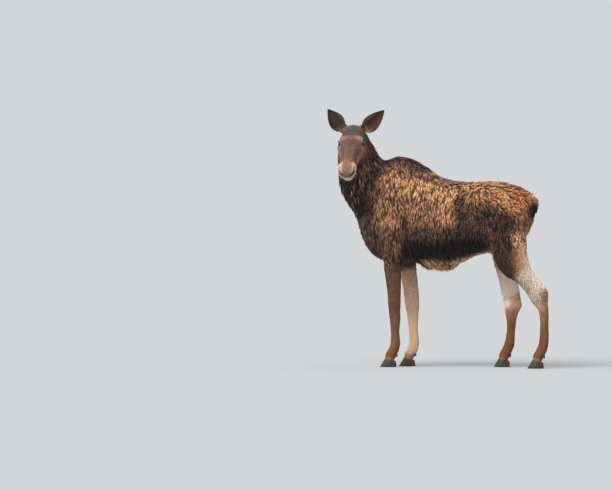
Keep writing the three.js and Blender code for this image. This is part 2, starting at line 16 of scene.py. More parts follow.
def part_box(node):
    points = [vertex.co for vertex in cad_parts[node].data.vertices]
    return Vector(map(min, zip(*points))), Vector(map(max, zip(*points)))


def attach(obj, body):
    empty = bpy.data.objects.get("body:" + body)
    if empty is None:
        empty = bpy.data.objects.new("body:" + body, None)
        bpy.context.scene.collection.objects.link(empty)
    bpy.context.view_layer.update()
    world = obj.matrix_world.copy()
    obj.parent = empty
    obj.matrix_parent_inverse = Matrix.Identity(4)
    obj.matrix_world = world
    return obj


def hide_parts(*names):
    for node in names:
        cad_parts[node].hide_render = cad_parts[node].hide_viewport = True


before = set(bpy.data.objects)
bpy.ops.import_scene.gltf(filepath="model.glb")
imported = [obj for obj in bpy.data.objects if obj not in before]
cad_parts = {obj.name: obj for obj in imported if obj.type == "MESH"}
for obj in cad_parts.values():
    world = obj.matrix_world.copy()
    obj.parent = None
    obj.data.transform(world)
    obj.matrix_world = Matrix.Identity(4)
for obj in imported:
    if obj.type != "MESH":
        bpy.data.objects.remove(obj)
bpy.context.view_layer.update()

# ---------------------------------------------------------------- what the frame gives

LEGS = ("foreleg_left", "foreleg_right", "hindleg_left", "hindleg_right")
CLAWS = [
    f"{leg}_{kind}_{place}" for leg in LEGS for kind in ("claw", "dewclaw") for place in ("outer", "inner")
]
REGIONS = {
    "trunk": ["trunk"],
    "neck": ["neck"],
    "head": ["head"],
    "muzzle": ["muzzle"],
    "tail": ["tail"],
    "foreleg": ["foreleg_left_upper", "foreleg_right_upper"],
    "thigh": ["hindleg_left_upper", "hindleg_right_upper"],
    "shank": [leg + "_lower" for leg in LEGS],
    "claw": CLAWS,
    "ear": ["ear_left", "ear_right"],
}
FLESH = [node for region, nodes in REGIONS.items() for node in nodes if region not in ("claw", "ear")]
HEAD_PITCH = math.radians(36)  # the face's slope below the horizontal, as the solids have it
EYE_ALONG, EYE_UP = 0.188, 0.030  # the eyes from the poll, in the head's own axes


def unit(v):
    """v at length 1, or each row of it."""
    v = np.asarray(v, float)
    return v / np.maximum(np.linalg.norm(v, axis=-1, keepdims=True), 1e-9)


def middle(node):
    """The middle of a CAD node's box."""
    low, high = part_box(node)
    return (np.array(low) + np.array(high)) / 2


def head_axes():
    """The poll, and the head's own axes as rows: its right, along its face, and up from its face."""
    right = unit(middle("eye_right") - middle("eye_left"))
    level = np.cross((0, 0, 1), right)
    along = math.cos(HEAD_PITCH) * level - math.sin(HEAD_PITCH) * np.array((0, 0, 1))
    up = np.cross(right, along)
    poll = (middle("eye_right") + middle("eye_left")) / 2 - EYE_ALONG * along - EYE_UP * up
    return poll, np.array((right, along, up))


POLL, HEAD_AXES = head_axes()


def in_head(points):
    """Places in the head's own axes, as rows from the poll."""
    return (points - POLL) @ HEAD_AXES.T


def from_head(points):
    """Places in the row frame, from rows in the head's own axes."""
    return np.asarray(points, float) @ HEAD_AXES + POLL


# ---------------------------------------------------------------- meshes and objects

def linked(name, data):
    """A new object in the scene."""
    thing = bpy.data.objects.new(name, data)
    bpy.context.scene.collection.objects.link(thing)
    return thing


def as_object(name, points, faces):
    """A new mesh object of points and faces."""
    mesh = bpy.data.meshes.new(name)
    mesh.from_pydata(points.tolist(), [], [list(f) for f in faces])
    return linked(name, mesh)


def simple_mesh(name, make, **sizes):
    """A new mesh of one of bmesh's simple shapes."""
    work = bmesh.new()
    make(work, **sizes)
    mesh = bpy.data.meshes.new(name)
    work.to_mesh(mesh)
    work.free()
    return mesh


def apply_modifiers(thing):
    """The object's mesh becomes what its modifiers make of it."""
    graph = bpy.context.evaluated_depsgraph_get()
    made = bpy.data.meshes.new_from_object(thing.evaluated_get(graph))
    thing.modifiers.clear()
    thing.data = made


def read(items, name, width, kind=float):
    """One property of a mesh's items, a row for each."""
    values = np.zeros(len(items) * width, kind)
    items.foreach_get(name, values)
    return values.reshape(-1, width)


def places(mesh):
    """A mesh's points as rows."""
    return read(mesh.vertices, "co", 3)


def put(mesh, points):
    """Moves a mesh's points to the given places."""
    mesh.vertices.foreach_set("co", points.ravel())
    mesh.update()


def mesh_normals(mesh):
    """The normals at a mesh's points, as rows."""
    return read(mesh.vertex_normals, "vector", 3)


def mesh_links(mesh):
    """The edges' points from both ends, and how many edges each point has."""
    pairs = read(mesh.edges, "vertices", 2, int)
    start, end = np.concatenate((pairs, pairs[:, ::-1])).T
    return start, end, np.maximum(np.bincount(start, minlength=len(mesh.vertices)), 1)[:, None]


def smooth_shaded(mesh):
    """Shades a mesh as a smooth one."""
    mesh.polygons.foreach_set("use_smooth", [True] * len(mesh.polygons))


def coloured(mesh, colours):
    """Gives a mesh's points the colours that its material reads."""
    rows = np.ones((len(mesh.vertices), 4))
    rows[:, :3] = colours
    mesh.color_attributes.new("Coat", "FLOAT_COLOR", "POINT").data.foreach_set("color", rows.ravel())


def evened(values, links, times, share=0.5):
    """values of the points drawn towards their neighbours' mean."""
    start, end, edges = links
    for _ in range(times):
        total = np.stack([np.bincount(start, v[end], minlength=len(values)) for v in values.T], axis=1)
        values = values + share * (total / edges - values)
    return values


# ---------------------------------------------------------------- fields on a grid

class Field:
    """Signed distances on a grid, negative inside, read between the grid's points by linear interpolation."""

    def __init__(self, values, corner, voxel):
        self.values = values
        self.corner = np.asarray(corner)
        self.voxel = voxel

    @classmethod
    def around(cls, points, triangles, voxel, band):
        """The field of a closed mesh, with true distances up to band grid points from its surface."""
        transform = vdb.createLinearTransform(voxelSize=voxel)
        grid = vdb.FloatGrid.createLevelSetFromPolygons(
            points.astype(np.float32), triangles=triangles.astype(np.uint32), transform=transform,
            halfWidth=band,
        )
        corner = np.floor(points.min(0) / voxel).astype(int) - band - 2
        size = np.ceil(points.max(0) / voxel).astype(int) + band + 3 - corner
        values = np.zeros(size, np.float32)
        grid.copyToArray(values, ijk=tuple(int(i) for i in corner))
        return cls(values, corner, voxel)

    def at(self, points):
        """The distances at points."""
        place = points / self.voxel - self.corner
        cell = np.clip(np.floor(place).astype(int), 0, np.array(self.values.shape) - 2)
        share = np.clip(place - cell, 0, 1)
        total = np.zeros(len(points))
        for step in np.ndindex(2, 2, 2):
            weight = np.prod(np.where(np.array(step) == 1, share, 1 - share), axis=1)
            i, j, k = (cell + step).T
            total += weight * self.values[i, j, k]
        return total

    def slope(self, points):
        """Unit vectors that point straight out of the shape."""
        step = self.voxel
        sides = [self.at(points + step * e) - self.at(points - step * e) for e in np.eye(3)]
        return unit(np.stack(sides, axis=1))

    def surface(self, level=0.0):
        """The points and four-sided faces where the distance is level."""
        grid = vdb.FloatGrid(float(self.values.max()))
        grid.copyFromArray(self.values, ijk=tuple(int(i) for i in self.corner))
        grid.transform = vdb.createLinearTransform(voxelSize=self.voxel)
        points, quads = grid.convertToQuads(level)
        return points.astype(float), quads.astype(int)


def blurred(values, width, times):
    """values averaged over a cube of 2 * width + 1 grid points, the given number of times."""
    for _ in range(times):
        for axis in range(3):
            total = values.copy()
            for shift in range(1, width + 1):
                for way in (shift, -shift):
                    total += np.roll(values, way, axis)
            values = total / (2 * width + 1)
    return values


def split(quads):
    """Four-sided faces as triangles."""
    return np.concatenate((quads[:, [0, 1, 2]], quads[:, [0, 2, 3]]))


def merged(node):
    """A CAD node's points and triangles, with shared points merged."""
    mesh = bmesh.new()
    mesh.from_mesh(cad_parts[node].data)
    bmesh.ops.remove_doubles(mesh, verts=mesh.verts, dist=1e-6)
    bmesh.ops.triangulate(mesh, faces=mesh.faces)
    mesh.verts.index_update()
    points = np.array([v.co for v in mesh.verts])
    triangles = np.array([[v.index for v in f.verts] for f in mesh.faces])
    mesh.free()
    return points, triangles


def joined(parts):
    """Several (points, faces) as one."""
    starts = np.cumsum([0] + [len(points) for points, _ in parts])
    points = np.concatenate([points for points, _ in parts])
    faces = np.concatenate([faces + start for (_, faces), start in zip(parts, starts)])
    return points, faces


# ---------------------------------------------------------------- the skin

VOXEL = 0.0114
CUT_BAND, BAND, COAT_BAND = 4, 8, 5  # the bands of the cut solids' field, the sealed ones' and the skin's
CLAW_LEVEL = 0.045  # the skin's lowest level, inside the claws
SEAL = 0.0015  # outward step that closes the thin cuts between the solids
EYE_RADIUS = (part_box("eye_left")[1].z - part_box("eye_left")[0].z) / 2
EYE_SET = 0.011  # how much deeper the ball sits than its solid, as the skin does


def ramp(x, low, high):
    """0 below low, 1 above high, and smooth between."""
    t = np.clip((x - low) / (high - low), 0, 1)
    return t * t * (3 - 2 * t)


def headness(right, along, up):
    """1 on the head and 0 off it, from places in the head's own axes."""
    return ramp(along, -0.07, 0.02) * ramp(up, -0.24, -0.16) * (1 - ramp(np.abs(right), 0.17, 0.22))


def closeness(points, line, reach, full):
    """1 near a line and 0 beyond its reach; full is the share of the reach within which it is 1."""
    return 1 - ramp(near_line(points, line)[0], full * reach, reach)


def near_line(points, line):
    """How far each point is from a line of straight runs, and how far along the line, from 0 to 1, it is
    nearest."""
    line = np.asarray(line, float)
    best = np.full(len(points), np.inf)
    along = np.zeros(len(points))
    runs = len(line) - 1
    for n in range(runs):
        run = line[n + 1] - line[n]
        t = np.clip((points - line[n]) @ run / max(run @ run, 1e-12), 0, 1)
        gap = np.linalg.norm(points - line[n] - t[:, None] * run, axis=1)
        nearer = gap < best
        best[nearer] = gap[nearer]
        along[nearer] = (n + t[nearer]) / runs
    return best, along


def traced(line, tree, steps=6):
    """A line drawn on the skin: places along it, each moved to the skin's nearest point."""
    line = np.asarray(line, float)
    stops = np.linspace(0, len(line) - 1, steps * (len(line) - 1) + 1)
    drawn = np.stack([np.interp(stops, range(len(line)), line[:, axis]) for axis in range(3)], axis=1)
    return np.array([tree.find(place)[0] for place in drawn])


def tree_of(points):
    """A tree that finds the nearest of the points."""
    tree = KDTree(len(points))
    for place, point in enumerate(points):
        tree.insert(point, place)
    tree.balance()
    return tree


def sealed_solids():
    """The solids of flesh and the claws as one field, with the thin cuts between them closed."""
    points, triangles = joined([merged(node) for node in FLESH + CLAWS])
    cut = Field.around(points, triangles, VOXEL, CUT_BAND)
    points, quads = cut.surface(SEAL)
    sealed = Field.around(points, split(quads), VOXEL, BAND)
    return Field(sealed.values + SEAL, sealed.corner, VOXEL)


solids = sealed_solids()


def flesh_field():
    """The solids' field with the eyes in it, smoothed most on the trunk and the neck, where the coat is long.
    It reaches a little way into the claws."""
    values = solids.values
    place = [(np.arange(n) + c) * VOXEL for n, c in zip(values.shape, solids.corner)]
    x, y, z = np.meshgrid(*place, indexing="ij", sparse=True)
    face = headness(*(sum(axis[i] * (v - POLL[i]) for i, v in enumerate((x, y, z))) for axis in HEAD_AXES))
    for side, eye in ((-1, "eye_left"), (1, "eye_right")):
        centre = middle(eye) - EYE_SET * side * HEAD_AXES[0]
        reach = np.sqrt((x - centre[0]) ** 2 + (y - centre[1]) ** 2 + (z - centre[2]) ** 2)
        values = np.minimum(values, reach - EYE_RADIUS)
    values = np.maximum(values, CLAW_LEVEL - z)
    fine = blurred(values, 1, 1)
    soft = blurred(values, 2, 3)
    body = ramp(z, 0.82, 1.02) * (1 - face)
    return Field(fine + body * (soft - fine), solids.corner, VOXEL)


# The ears: a cup round the ear's own axis, as the solids have it, set on the head by these turns in degrees.
EAR_ROOT = np.array((0.086, 0.004, 0.026))
EAR_LENGTH, EAR_HALF, EAR_WALL = 0.240, 0.060, 0.007
EAR_SET = 0.6  # how far behind the ear's axis the cup curls round, as a share of its radius
EAR_BEND = 0.026  # how far forward the tip bends
EARS = ({"side": -1, "lean": 46, "back": 36, "twist": 8}, {"side": 1, "lean": 37, "back": 52, "twist": 8})
EAR_CURL = (118, 46)  # how far round the cup goes on each side at its root and at its tip, in degrees
EAR_LIT_AND_SHADED = (1.3, 0.42)  # how light the hair of each ear is painted: the left ear lighter as painted sunlight, the right darker as painted shade


def turn(axis, degrees):
    """The turn about an axis, as a matrix."""
    c, s = math.cos(math.radians(degrees)), math.sin(math.radians(degrees))
    rows = {
        "x": ((1, 0, 0), (0, c, -s), (0, s, c)),
        "y": ((c, 0, s), (0, 1, 0), (-s, 0, c)),
        "z": ((c, -s, 0), (s, c, 0), (0, 0, 1)),
    }
    return np.array(rows[axis])


def ear_frame(side, lean, back, twist):
    """The ear's root in the row frame, and its own axes as rows: across, behind and along."""
    axes = (turn("x", back) @ turn("y", lean * side) @ turn("z", -twist * side)).T
    return from_head(EAR_ROOT * (side, 1, 1)), axes @ HEAD_AXES


def ear_section(t):
    """The cup's half width at t along it, its radius, and how far round the cup goes in degrees."""
    half = 0.015 * (1 - t) + EAR_HALF * np.sin(np.radians(176 * t ** 0.72)) ** 0.9
    curl = EAR_CURL[0] + (EAR_CURL[1] - EAR_CURL[0]) * t ** 0.6
    return half, half / np.sin(np.radians(np.minimum(curl, 90))), curl


def ear_place(t, s, inner):
    """A point of the cup in the ear's own axes: t along it, s across it from -1 to 1, and inner or outer."""
    _, radius, curl = ear_section(t)
    wall = EAR_WALL * (1.6 + (0.8 - 1.6) * t)
    r = np.where(inner, np.maximum(radius - 0.8 * wall, radius * 0.5), radius - 0.2 * wall)
    angle = np.radians(curl * s)
    behind = EAR_SET * radius - r * np.cos(angle) - EAR_BEND * t * t
    return np.stack(np.broadcast_arrays(r * np.sin(angle), behind, t * EAR_LENGTH), axis=-1)


def ear_shell(pose):
    """The ear's skin as a closed mesh that starts inside the head."""
    rings, across = 30, 15
    s = np.linspace(-1, 1, across)
    rows = [
        np.concatenate((ear_place(t, s, False), ear_place(t, s[::-1], True)))
        for t in np.linspace(0.02, 0.985, rings)
    ]
    rows = np.array([rows[0] * (0.8, 0.8, 1) - (0, 0, 0.045)] + rows)
    around, last = 2 * across, 2 * across * rings
    faces = []
    for low in range(0, last, around):
        high = low + around
        faces += [(low + i, low + (i + 1) % around, high + (i + 1) % around, high + i) for i in range(around)]
    faces += [(high + around, (i + 1) % around, i) for i in range(around)]
    faces += [(high + around + 1, last + i, last + (i + 1) % around) for i in range(around)]
    root, axes = ear_frame(**pose)
    ends = (rows[0].mean(0), rows[-1].mean(0) + (0, 0, 0.002))
    return np.concatenate((rows.reshape(-1, 3), ends)) @ axes + root, faces


BLEND, WIDE_BLEND = 24, 50  # how often the regions' shares are blended over the skin, and again for lengths


class Body:
    """Which part of the moose a point belongs to, by the CAD node nearest to it."""

    def __init__(self):
        self.names = list(REGIONS)
        parts = [(r, merged(node)) for r, nodes in enumerate(REGIONS.values()) for node in nodes]
        points, triangles = joined([part for _, part in parts])
        self.tree = BVHTree.FromPolygons(points.tolist(), triangles.tolist())
        self.of_face = np.repeat([r for r, _ in parts], [len(part[1]) for _, part in parts])

    def shares(self, points, links):
        """How much of each region a point has, as a column for each, blended over its neighbours."""
        face = [self.tree.find_nearest(Vector(p))[2] for p in points]
        return evened(np.eye(len(self.names))[self.of_face[face]], links, BLEND)

    def mixed(self, shares, values):
        """One value for each point, from a value for each region; those not named count as 0."""
        return shares @ np.array([values.get(name, 0) for name in self.names], float)


body = Body()

# How far the skin lies inside the solids, which reach to the tips of the coat.
COAT_DEPTH = {
    "trunk": 0.019, "neck": 0.024, "head": 0.005, "muzzle": 0.0015, "tail": 0.010,
    "foreleg": 0.010, "thigh": 0.014, "shank": 0.005, "claw": 0.004, "ear": 0.001,
}
# Hair stands deeper or shallower here: a line in the row frame, how far round it, and how much deeper.
mid_x = middle("trunk")[0]
NEAR_GASKIN = [[-0.03, 0.74, 1.00], [-0.03, 0.84, 0.80], [-0.03, 0.93, 0.60]]
FAR_GASKIN = [[-0.31, 0.56, 0.95], [-0.31, 0.57, 0.70], [-0.31, 0.60, 0.50]]
LONG_HAIR = [
    ([[mid_x, -0.16, 0.84], [mid_x, 0.12, 0.84]], 0.12, 0.030),
    ([[mid_x, -0.62, 1.74], [mid_x, -0.40, 1.84], [mid_x, -0.12, 1.70]], 0.17, -0.014),
    (from_head([[-0.03, 0.00, 0.08], [0.03, 0.00, 0.08]]), 0.07, 0.010),
    ([[-0.15, -0.84, 1.60], [-0.16, -0.86, 1.46]], 0.12, 0.008),
    (NEAR_GASKIN, 0.17, -0.008),
    (FAR_GASKIN, 0.17, -0.008),
]


def coat_depth(points, shares):
    """How far inside the solids the skin lies."""
    depth = body.mixed(shares, COAT_DEPTH)
    for line, reach, more in LONG_HAIR:
        depth = depth + more * closeness(points, line, reach, 0.3)
    return depth


# ---------------------------------------------------------------- the face, in the head's own axes

# Folds of the face, in millimetres: a line outward, along the face and up from it, how far round it, and how
# far out it stands at its start and at its end.
FOLDS = [
    ("nostril", [[36, 606, -12], [52, 600, -4], [64, 584, 8]], 8.5, (-9, -20)),
    ("nostril slit", [[64, 584, 8], [71, 562, 20], [68, 542, 30]], 6.5, (-17, -3)),
    ("nostril wing", [[58, 596, -16], [72, 578, -4], [78, 556, 8]], 9, (3, 5)),
    ("nostril rim", [[30, 604, 4], [46, 594, 14], [58, 574, 28], [58, 548, 40]], 8, (2.5, 4)),
    ("mouth", [[0, 590, -61], [30, 584, -61], [48, 566, -63], [50, 520, -65]], 5.5, (-10, -12)),
    ("mouth corner", [[50, 520, -65], [56, 460, -64], [62, 400, -60]], 5, (-10, -4)),
    ("upper lip", [[0, 604, -48], [40, 594, -50], [62, 566, -52], [66, 500, -54]], 8, (4, 3)),
    ("lower lip", [[0, 572, -74], [28, 566, -74], [40, 545, -78], [46, 480, -80]], 8, (4, 3)),
    ("philtrum", [[0, 600, 18], [0, 609, -10], [0, 606, -44]], 5, (-1, -4)),
    ("brow", [[82, 140, 66], [100, 168, 62], [104, 198, 54], [96, 224, 44]], 12, (4, 3)),
    ("tear line", [[112, 208, 22], [104, 232, 12], [96, 250, 8]], 5, (-6, -2)),
    ("facial crest", [[108, 212, -18], [94, 300, -24], [74, 380, -28]], 13, (4, 2)),
    ("jaw hollow", [[86, 290, -50], [66, 370, -56]], 20, (-5, -6)),
    ("nose hollow", [[84, 290, 10], [64, 420, 14], [70, 470, 14]], 19, (-6, -4)),
    ("nose ridge", [[40, 250, 46], [30, 360, 42], [30, 440, 44]], 12, (2, 3)),
    ("forehead hollow", [[0, 150, 70], [0, 220, 60]], 34, (-5, -4)),
    ("temple", [[88, 110, 54], [100, 96, 20]], 22, (-6, -5)),
    ("cheek edge", [[100, 96, -60], [100, 150, -112], [84, 230, -112]], 14, (4, 3)),
    ("under the eye", [[110, 156, 2], [112, 184, -4], [108, 212, 2]], 6, (-3, -4)),
]
MM = 0.001
HOLLOW = (0.0035, 0.0085)  # between these depths a fold comes to count as inside the nostrils or the mouth
MOUTH = [[0.05, 0.40, -0.05], [0.04, 0.60, -0.03]]  # near this line on either side lie the mouth and nostrils
# The lids: half the opening's length, its heights over and under its middle line, and the skin's thickness;
# how far the rim and the crease stand out, and how far behind the ball's front the skin lies in the opening.
LID = {
    "half_length": 0.0205, "upper": 0.0120, "lower": 0.0095, "thick": 0.0024,
    "rim": 0.0014, "crease": -0.0022, "behind": 0.007,
}
SLANT, BOW = 0.16, 6  # how steeply the opening is drawn down towards its front corner, and how bent it is
# Where the face's mesh is finer: a line in the head's own axes, on both sides, and how far round it.
FINER = [
    ([[0.07, 0.42, -0.05], [0.05, 0.60, -0.03]], 0.11),
    ([[0.105, 0.15, 0.03], [0.10, 0.25, 0.02]], 0.055),
]
FINEST = 0.036  # how far round the eyes it is finer still


def lid_line(u):
    """How far the middle line of the lids' opening lies below the eye's level, at u ahead of its middle."""
    return SLANT * u + BOW * u * np.abs(u)


def folded(local, normals):
    """Points of the skin in the head's axes, moved along their normals by the folds of the face, and how deep
    each is in the nostrils or the mouth."""
    moved = local.copy()
    deep = np.zeros(len(local))
    tree = tree_of(local)
    for name, line, reach, (start, end) in FOLDS:
        most = np.zeros(len(local))
        for side in (-1, 1):
            gap, along = near_line(local, traced(np.array(line) * MM * (side, 1, 1), tree))
            bump = (start + (end - start) * along) * MM * np.exp(-((gap / (reach * MM)) ** 2))
            most = np.where(np.abs(bump) > np.abs(most), bump, most)
        moved += most[:, None] * normals
        if name.startswith(("nostril", "mouth")):
            deep = np.maximum(deep, ramp(-most, *HOLLOW))
    return moved, deep


class Hollows:
    """The nostrils and the mouth: how deep in them, from 0 to 1, the face's nearest point is."""

    def __init__(self, local, deep):
        near = near_line(np.abs(local), MOUTH)[0] < 0.13
        self.deep = deep[near]
        self.tree = tree_of(local[near])

    def at(self, local):
        """How deep in the nostrils or the mouth places in the head's axes are."""
        near = near_line(np.abs(local), MOUTH)[0] < 0.12
        found = np.zeros(len(local))
        found[near] = self.deep[[self.tree.find(place)[1] for place in local[near]]]
        return found


def eye_axes(side):
    """The eye's centre and its own axes as rows, in the head's axes: forward, up and outward."""
    centre = in_head(middle("eye_right" if side > 0 else "eye_left")[None])[0]
    outward = unit((side, 0.42, 0.14))
    centre = centre - EYE_SET * np.array((side, 0, 0))
    forward = unit(np.cross((0, 0, 1), outward) * side)
    upward = np.cross(outward, forward) * side
    return centre, np.array((forward, upward, outward))


def lidded(local):
    """The skin round the eyes: lids over the ball, open in an almond whose front corner is drawn down."""
    for side in (-1, 1):
        centre, axes = eye_axes(side)
        u, v, w = ((local - centre) @ axes.T).T
        near = (np.hypot(u, v) < 2.2 * EYE_RADIUS) & (w > -0.2 * EYE_RADIUS)
        above = v + lid_line(u)
        half = np.where(above > 0, LID["upper"], LID["lower"])
        open_by = np.hypot(u / LID["half_length"], above / half)
        ball = np.sqrt(np.maximum(EYE_RADIUS ** 2 - u * u - v * v, 0))
        lid_radius = EYE_RADIUS + LID["thick"]
        lid = np.sqrt(np.maximum(lid_radius ** 2 - u * u - v * v, 0)) - 0.0005
        rim = LID["rim"] * np.exp(-(((open_by - 1.12) / 0.16) ** 2))
        crease = LID["crease"] * np.exp(-(((open_by - 1.75) / 0.2) ** 2)) * ramp(above, 0, 0.006)
        over = np.maximum(w, lid) + rim + crease
        over = np.where(np.hypot(u, v) < lid_radius, over, w + rim + crease)
        shut = ramp(open_by, 0.93, 1.0)
        aim = np.where(open_by < 1, shut * over + (1 - shut) * (ball - LID["behind"]), over)
        local = local + np.where(near, aim - w, 0)[:, None] * axes[2]
    return local


def refined(mesh, chosen, smooth):
    """mesh with its chosen faces split in four, and the points round there evened."""
    work = bmesh.new()
    work.from_mesh(mesh)
    work.faces.ensure_lookup_table()
    edges = {edge for n in np.flatnonzero(chosen) for edge in work.faces[n].edges}
    bmesh.ops.subdivide_edges(work, edges=list(edges), cuts=1, use_grid_fill=True)
    bmesh.ops.triangulate(work, faces=[f for f in work.faces if len(f.verts) > 4])
    work.to_mesh(mesh)
    work.free()
    points = places(mesh)
    share = headness(*in_head(points).T)[:, None]
    put(mesh, points + share * (evened(points, mesh_links(mesh), smooth) - points))


def face_middles(mesh):
    """The middles of a mesh's faces, in the head's own axes."""
    return in_head(read(mesh.polygons, "center", 3))


def build_flesh():
    """The skin's first form: the flesh's field meshed, and drawn in by the coat's depth."""
    points, quads = flesh_field().surface()
    skin = as_object("skin", points, quads)
    links = mesh_links(skin.data)
    points = evened(points, links, 3)
    put(skin.data, points)
    shares = body.shares(points, links)
    spare = np.clip(-solids.at(points) - coat_depth(points, shares), -0.05, 0.05)
    points += evened(spare[:, None], links, 10) * evened(mesh_normals(skin.data), links, 3)
    put(skin.data, evened(points, links, 1))
    return skin


def refine_face(mesh):
    """Smaller faces on the head, smaller still round the muzzle and the eyes, and smallest at the lids."""
    refined(mesh, headness(*face_middles(mesh).T) > 0.5, 2)
    middles = face_middles(mesh)
    fine = np.any([near_line(np.abs(middles), line)[0] < reach for line, reach in FINER], axis=0)
    refined(mesh, fine & (headness(*middles.T) > 0.5), 2)
    eyes = [in_head(middle(eye)) for eye in ("eye_left", "eye_right")]
    away = np.min([np.linalg.norm(face_middles(mesh) - eye, axis=1) for eye in eyes], axis=0)
    refined(mesh, away < FINEST, 1)


def build_skin():
    """The one skin, with the folds of the face, the lids and the ears; and the face's hollows."""
    skin = build_flesh()
    mesh = skin.data
    refine_face(mesh)
    local = in_head(places(mesh))
    normals = mesh_normals(mesh) @ HEAD_AXES.T
    face = headness(*local.T)
    on = face > 0
    moved, deep = folded(local[on], normals[on])
    local[on] += face[on, None] * (moved - local[on])
    hollows = Hollows(local[on], deep)
    put(mesh, from_head(lidded(local)))

    for pose in EARS:
        ear = as_object("ear", *ear_shell(pose))
        union = skin.modifiers.new("ear", "BOOLEAN")
        union.operation, union.solver, union.object = "UNION", "EXACT", ear
        apply_modifiers(skin)
        bpy.data.objects.remove(ear)
    smooth_shaded(skin.data)
    return skin, hollows


skin, hollows = build_skin()


# ---------------------------------------------------------------- markings

# sRGB colours of the hair. Some of them also carry painted light where they are laid: painted sunlight on the
# upper body, the belly's fringe and the jaw, and painted shade under the body, at the throat, on the sides of
# the nose and in the nostrils.
HAIR = {
    "flank": (0.66, 0.48, 0.37), "gold": (1.00, 0.77, 0.55), "croup": (0.92, 0.66, 0.46),
    "tan": (0.73, 0.53, 0.41), "orange": (0.84, 0.53, 0.35), "shadow": (0.30, 0.22, 0.18),
    "dark": (0.16, 0.13, 0.12), "belly": (0.075, 0.062, 0.062), "band": (0.34, 0.26, 0.22),
    "fringe": (1.00, 0.87, 0.68), "under": (0.84, 0.61, 0.44), "mane": (0.35, 0.27, 0.25),
    "throat": (0.18, 0.14, 0.13), "red": (0.33, 0.225, 0.205), "arm": (0.52, 0.37, 0.30),
    "chest": (0.36, 0.26, 0.23), "thigh": (0.34, 0.25, 0.22), "pale_thigh": (0.90, 0.69, 0.54),
    "white": (1.00, 0.93, 0.86), "grey": (0.88, 0.76, 0.66), "hock": (0.75, 0.56, 0.41),
    "cannon": (0.51, 0.33, 0.185), "leg": (0.50, 0.35, 0.28), "far_leg": (0.92, 0.78, 0.66),
    "face": (0.43, 0.32, 0.28), "bridge": (0.49, 0.325, 0.235), "forehead": (0.33, 0.26, 0.26),
    "brow": (0.69, 0.51, 0.455), "poll": (0.62, 0.52, 0.42), "muzzle": (0.93, 0.81, 0.69),
    "muzzle_top": (0.55, 0.385, 0.28), "nose": (0.46, 0.40, 0.37), "nostril": (0.10, 0.07, 0.07),
    "nose_side": (0.36, 0.29, 0.29), "ring": (0.74, 0.58, 0.53), "ear": (0.30, 0.22, 0.18),
    "ear_inside": (0.31, 0.22, 0.18), "ear_pale": (0.72, 0.57, 0.44), "ear_rim": (0.19, 0.14, 0.12),
    "cheek": (0.67, 0.46, 0.37), "jaw": (0.58, 0.40, 0.32), "lid": (0.12, 0.08, 0.07),
}
PALE_LOCK = (0.70, 0.58, 0.52)  # the paler locks of the mane
# The colour that each region has under the patches.
BASE = {
    "trunk": "flank", "neck": "mane", "head": "face", "muzzle": "face", "tail": "shadow", "foreleg": "leg",
    "thigh": "thigh", "shank": "cannon", "claw": "hock", "ear": "ear",
}
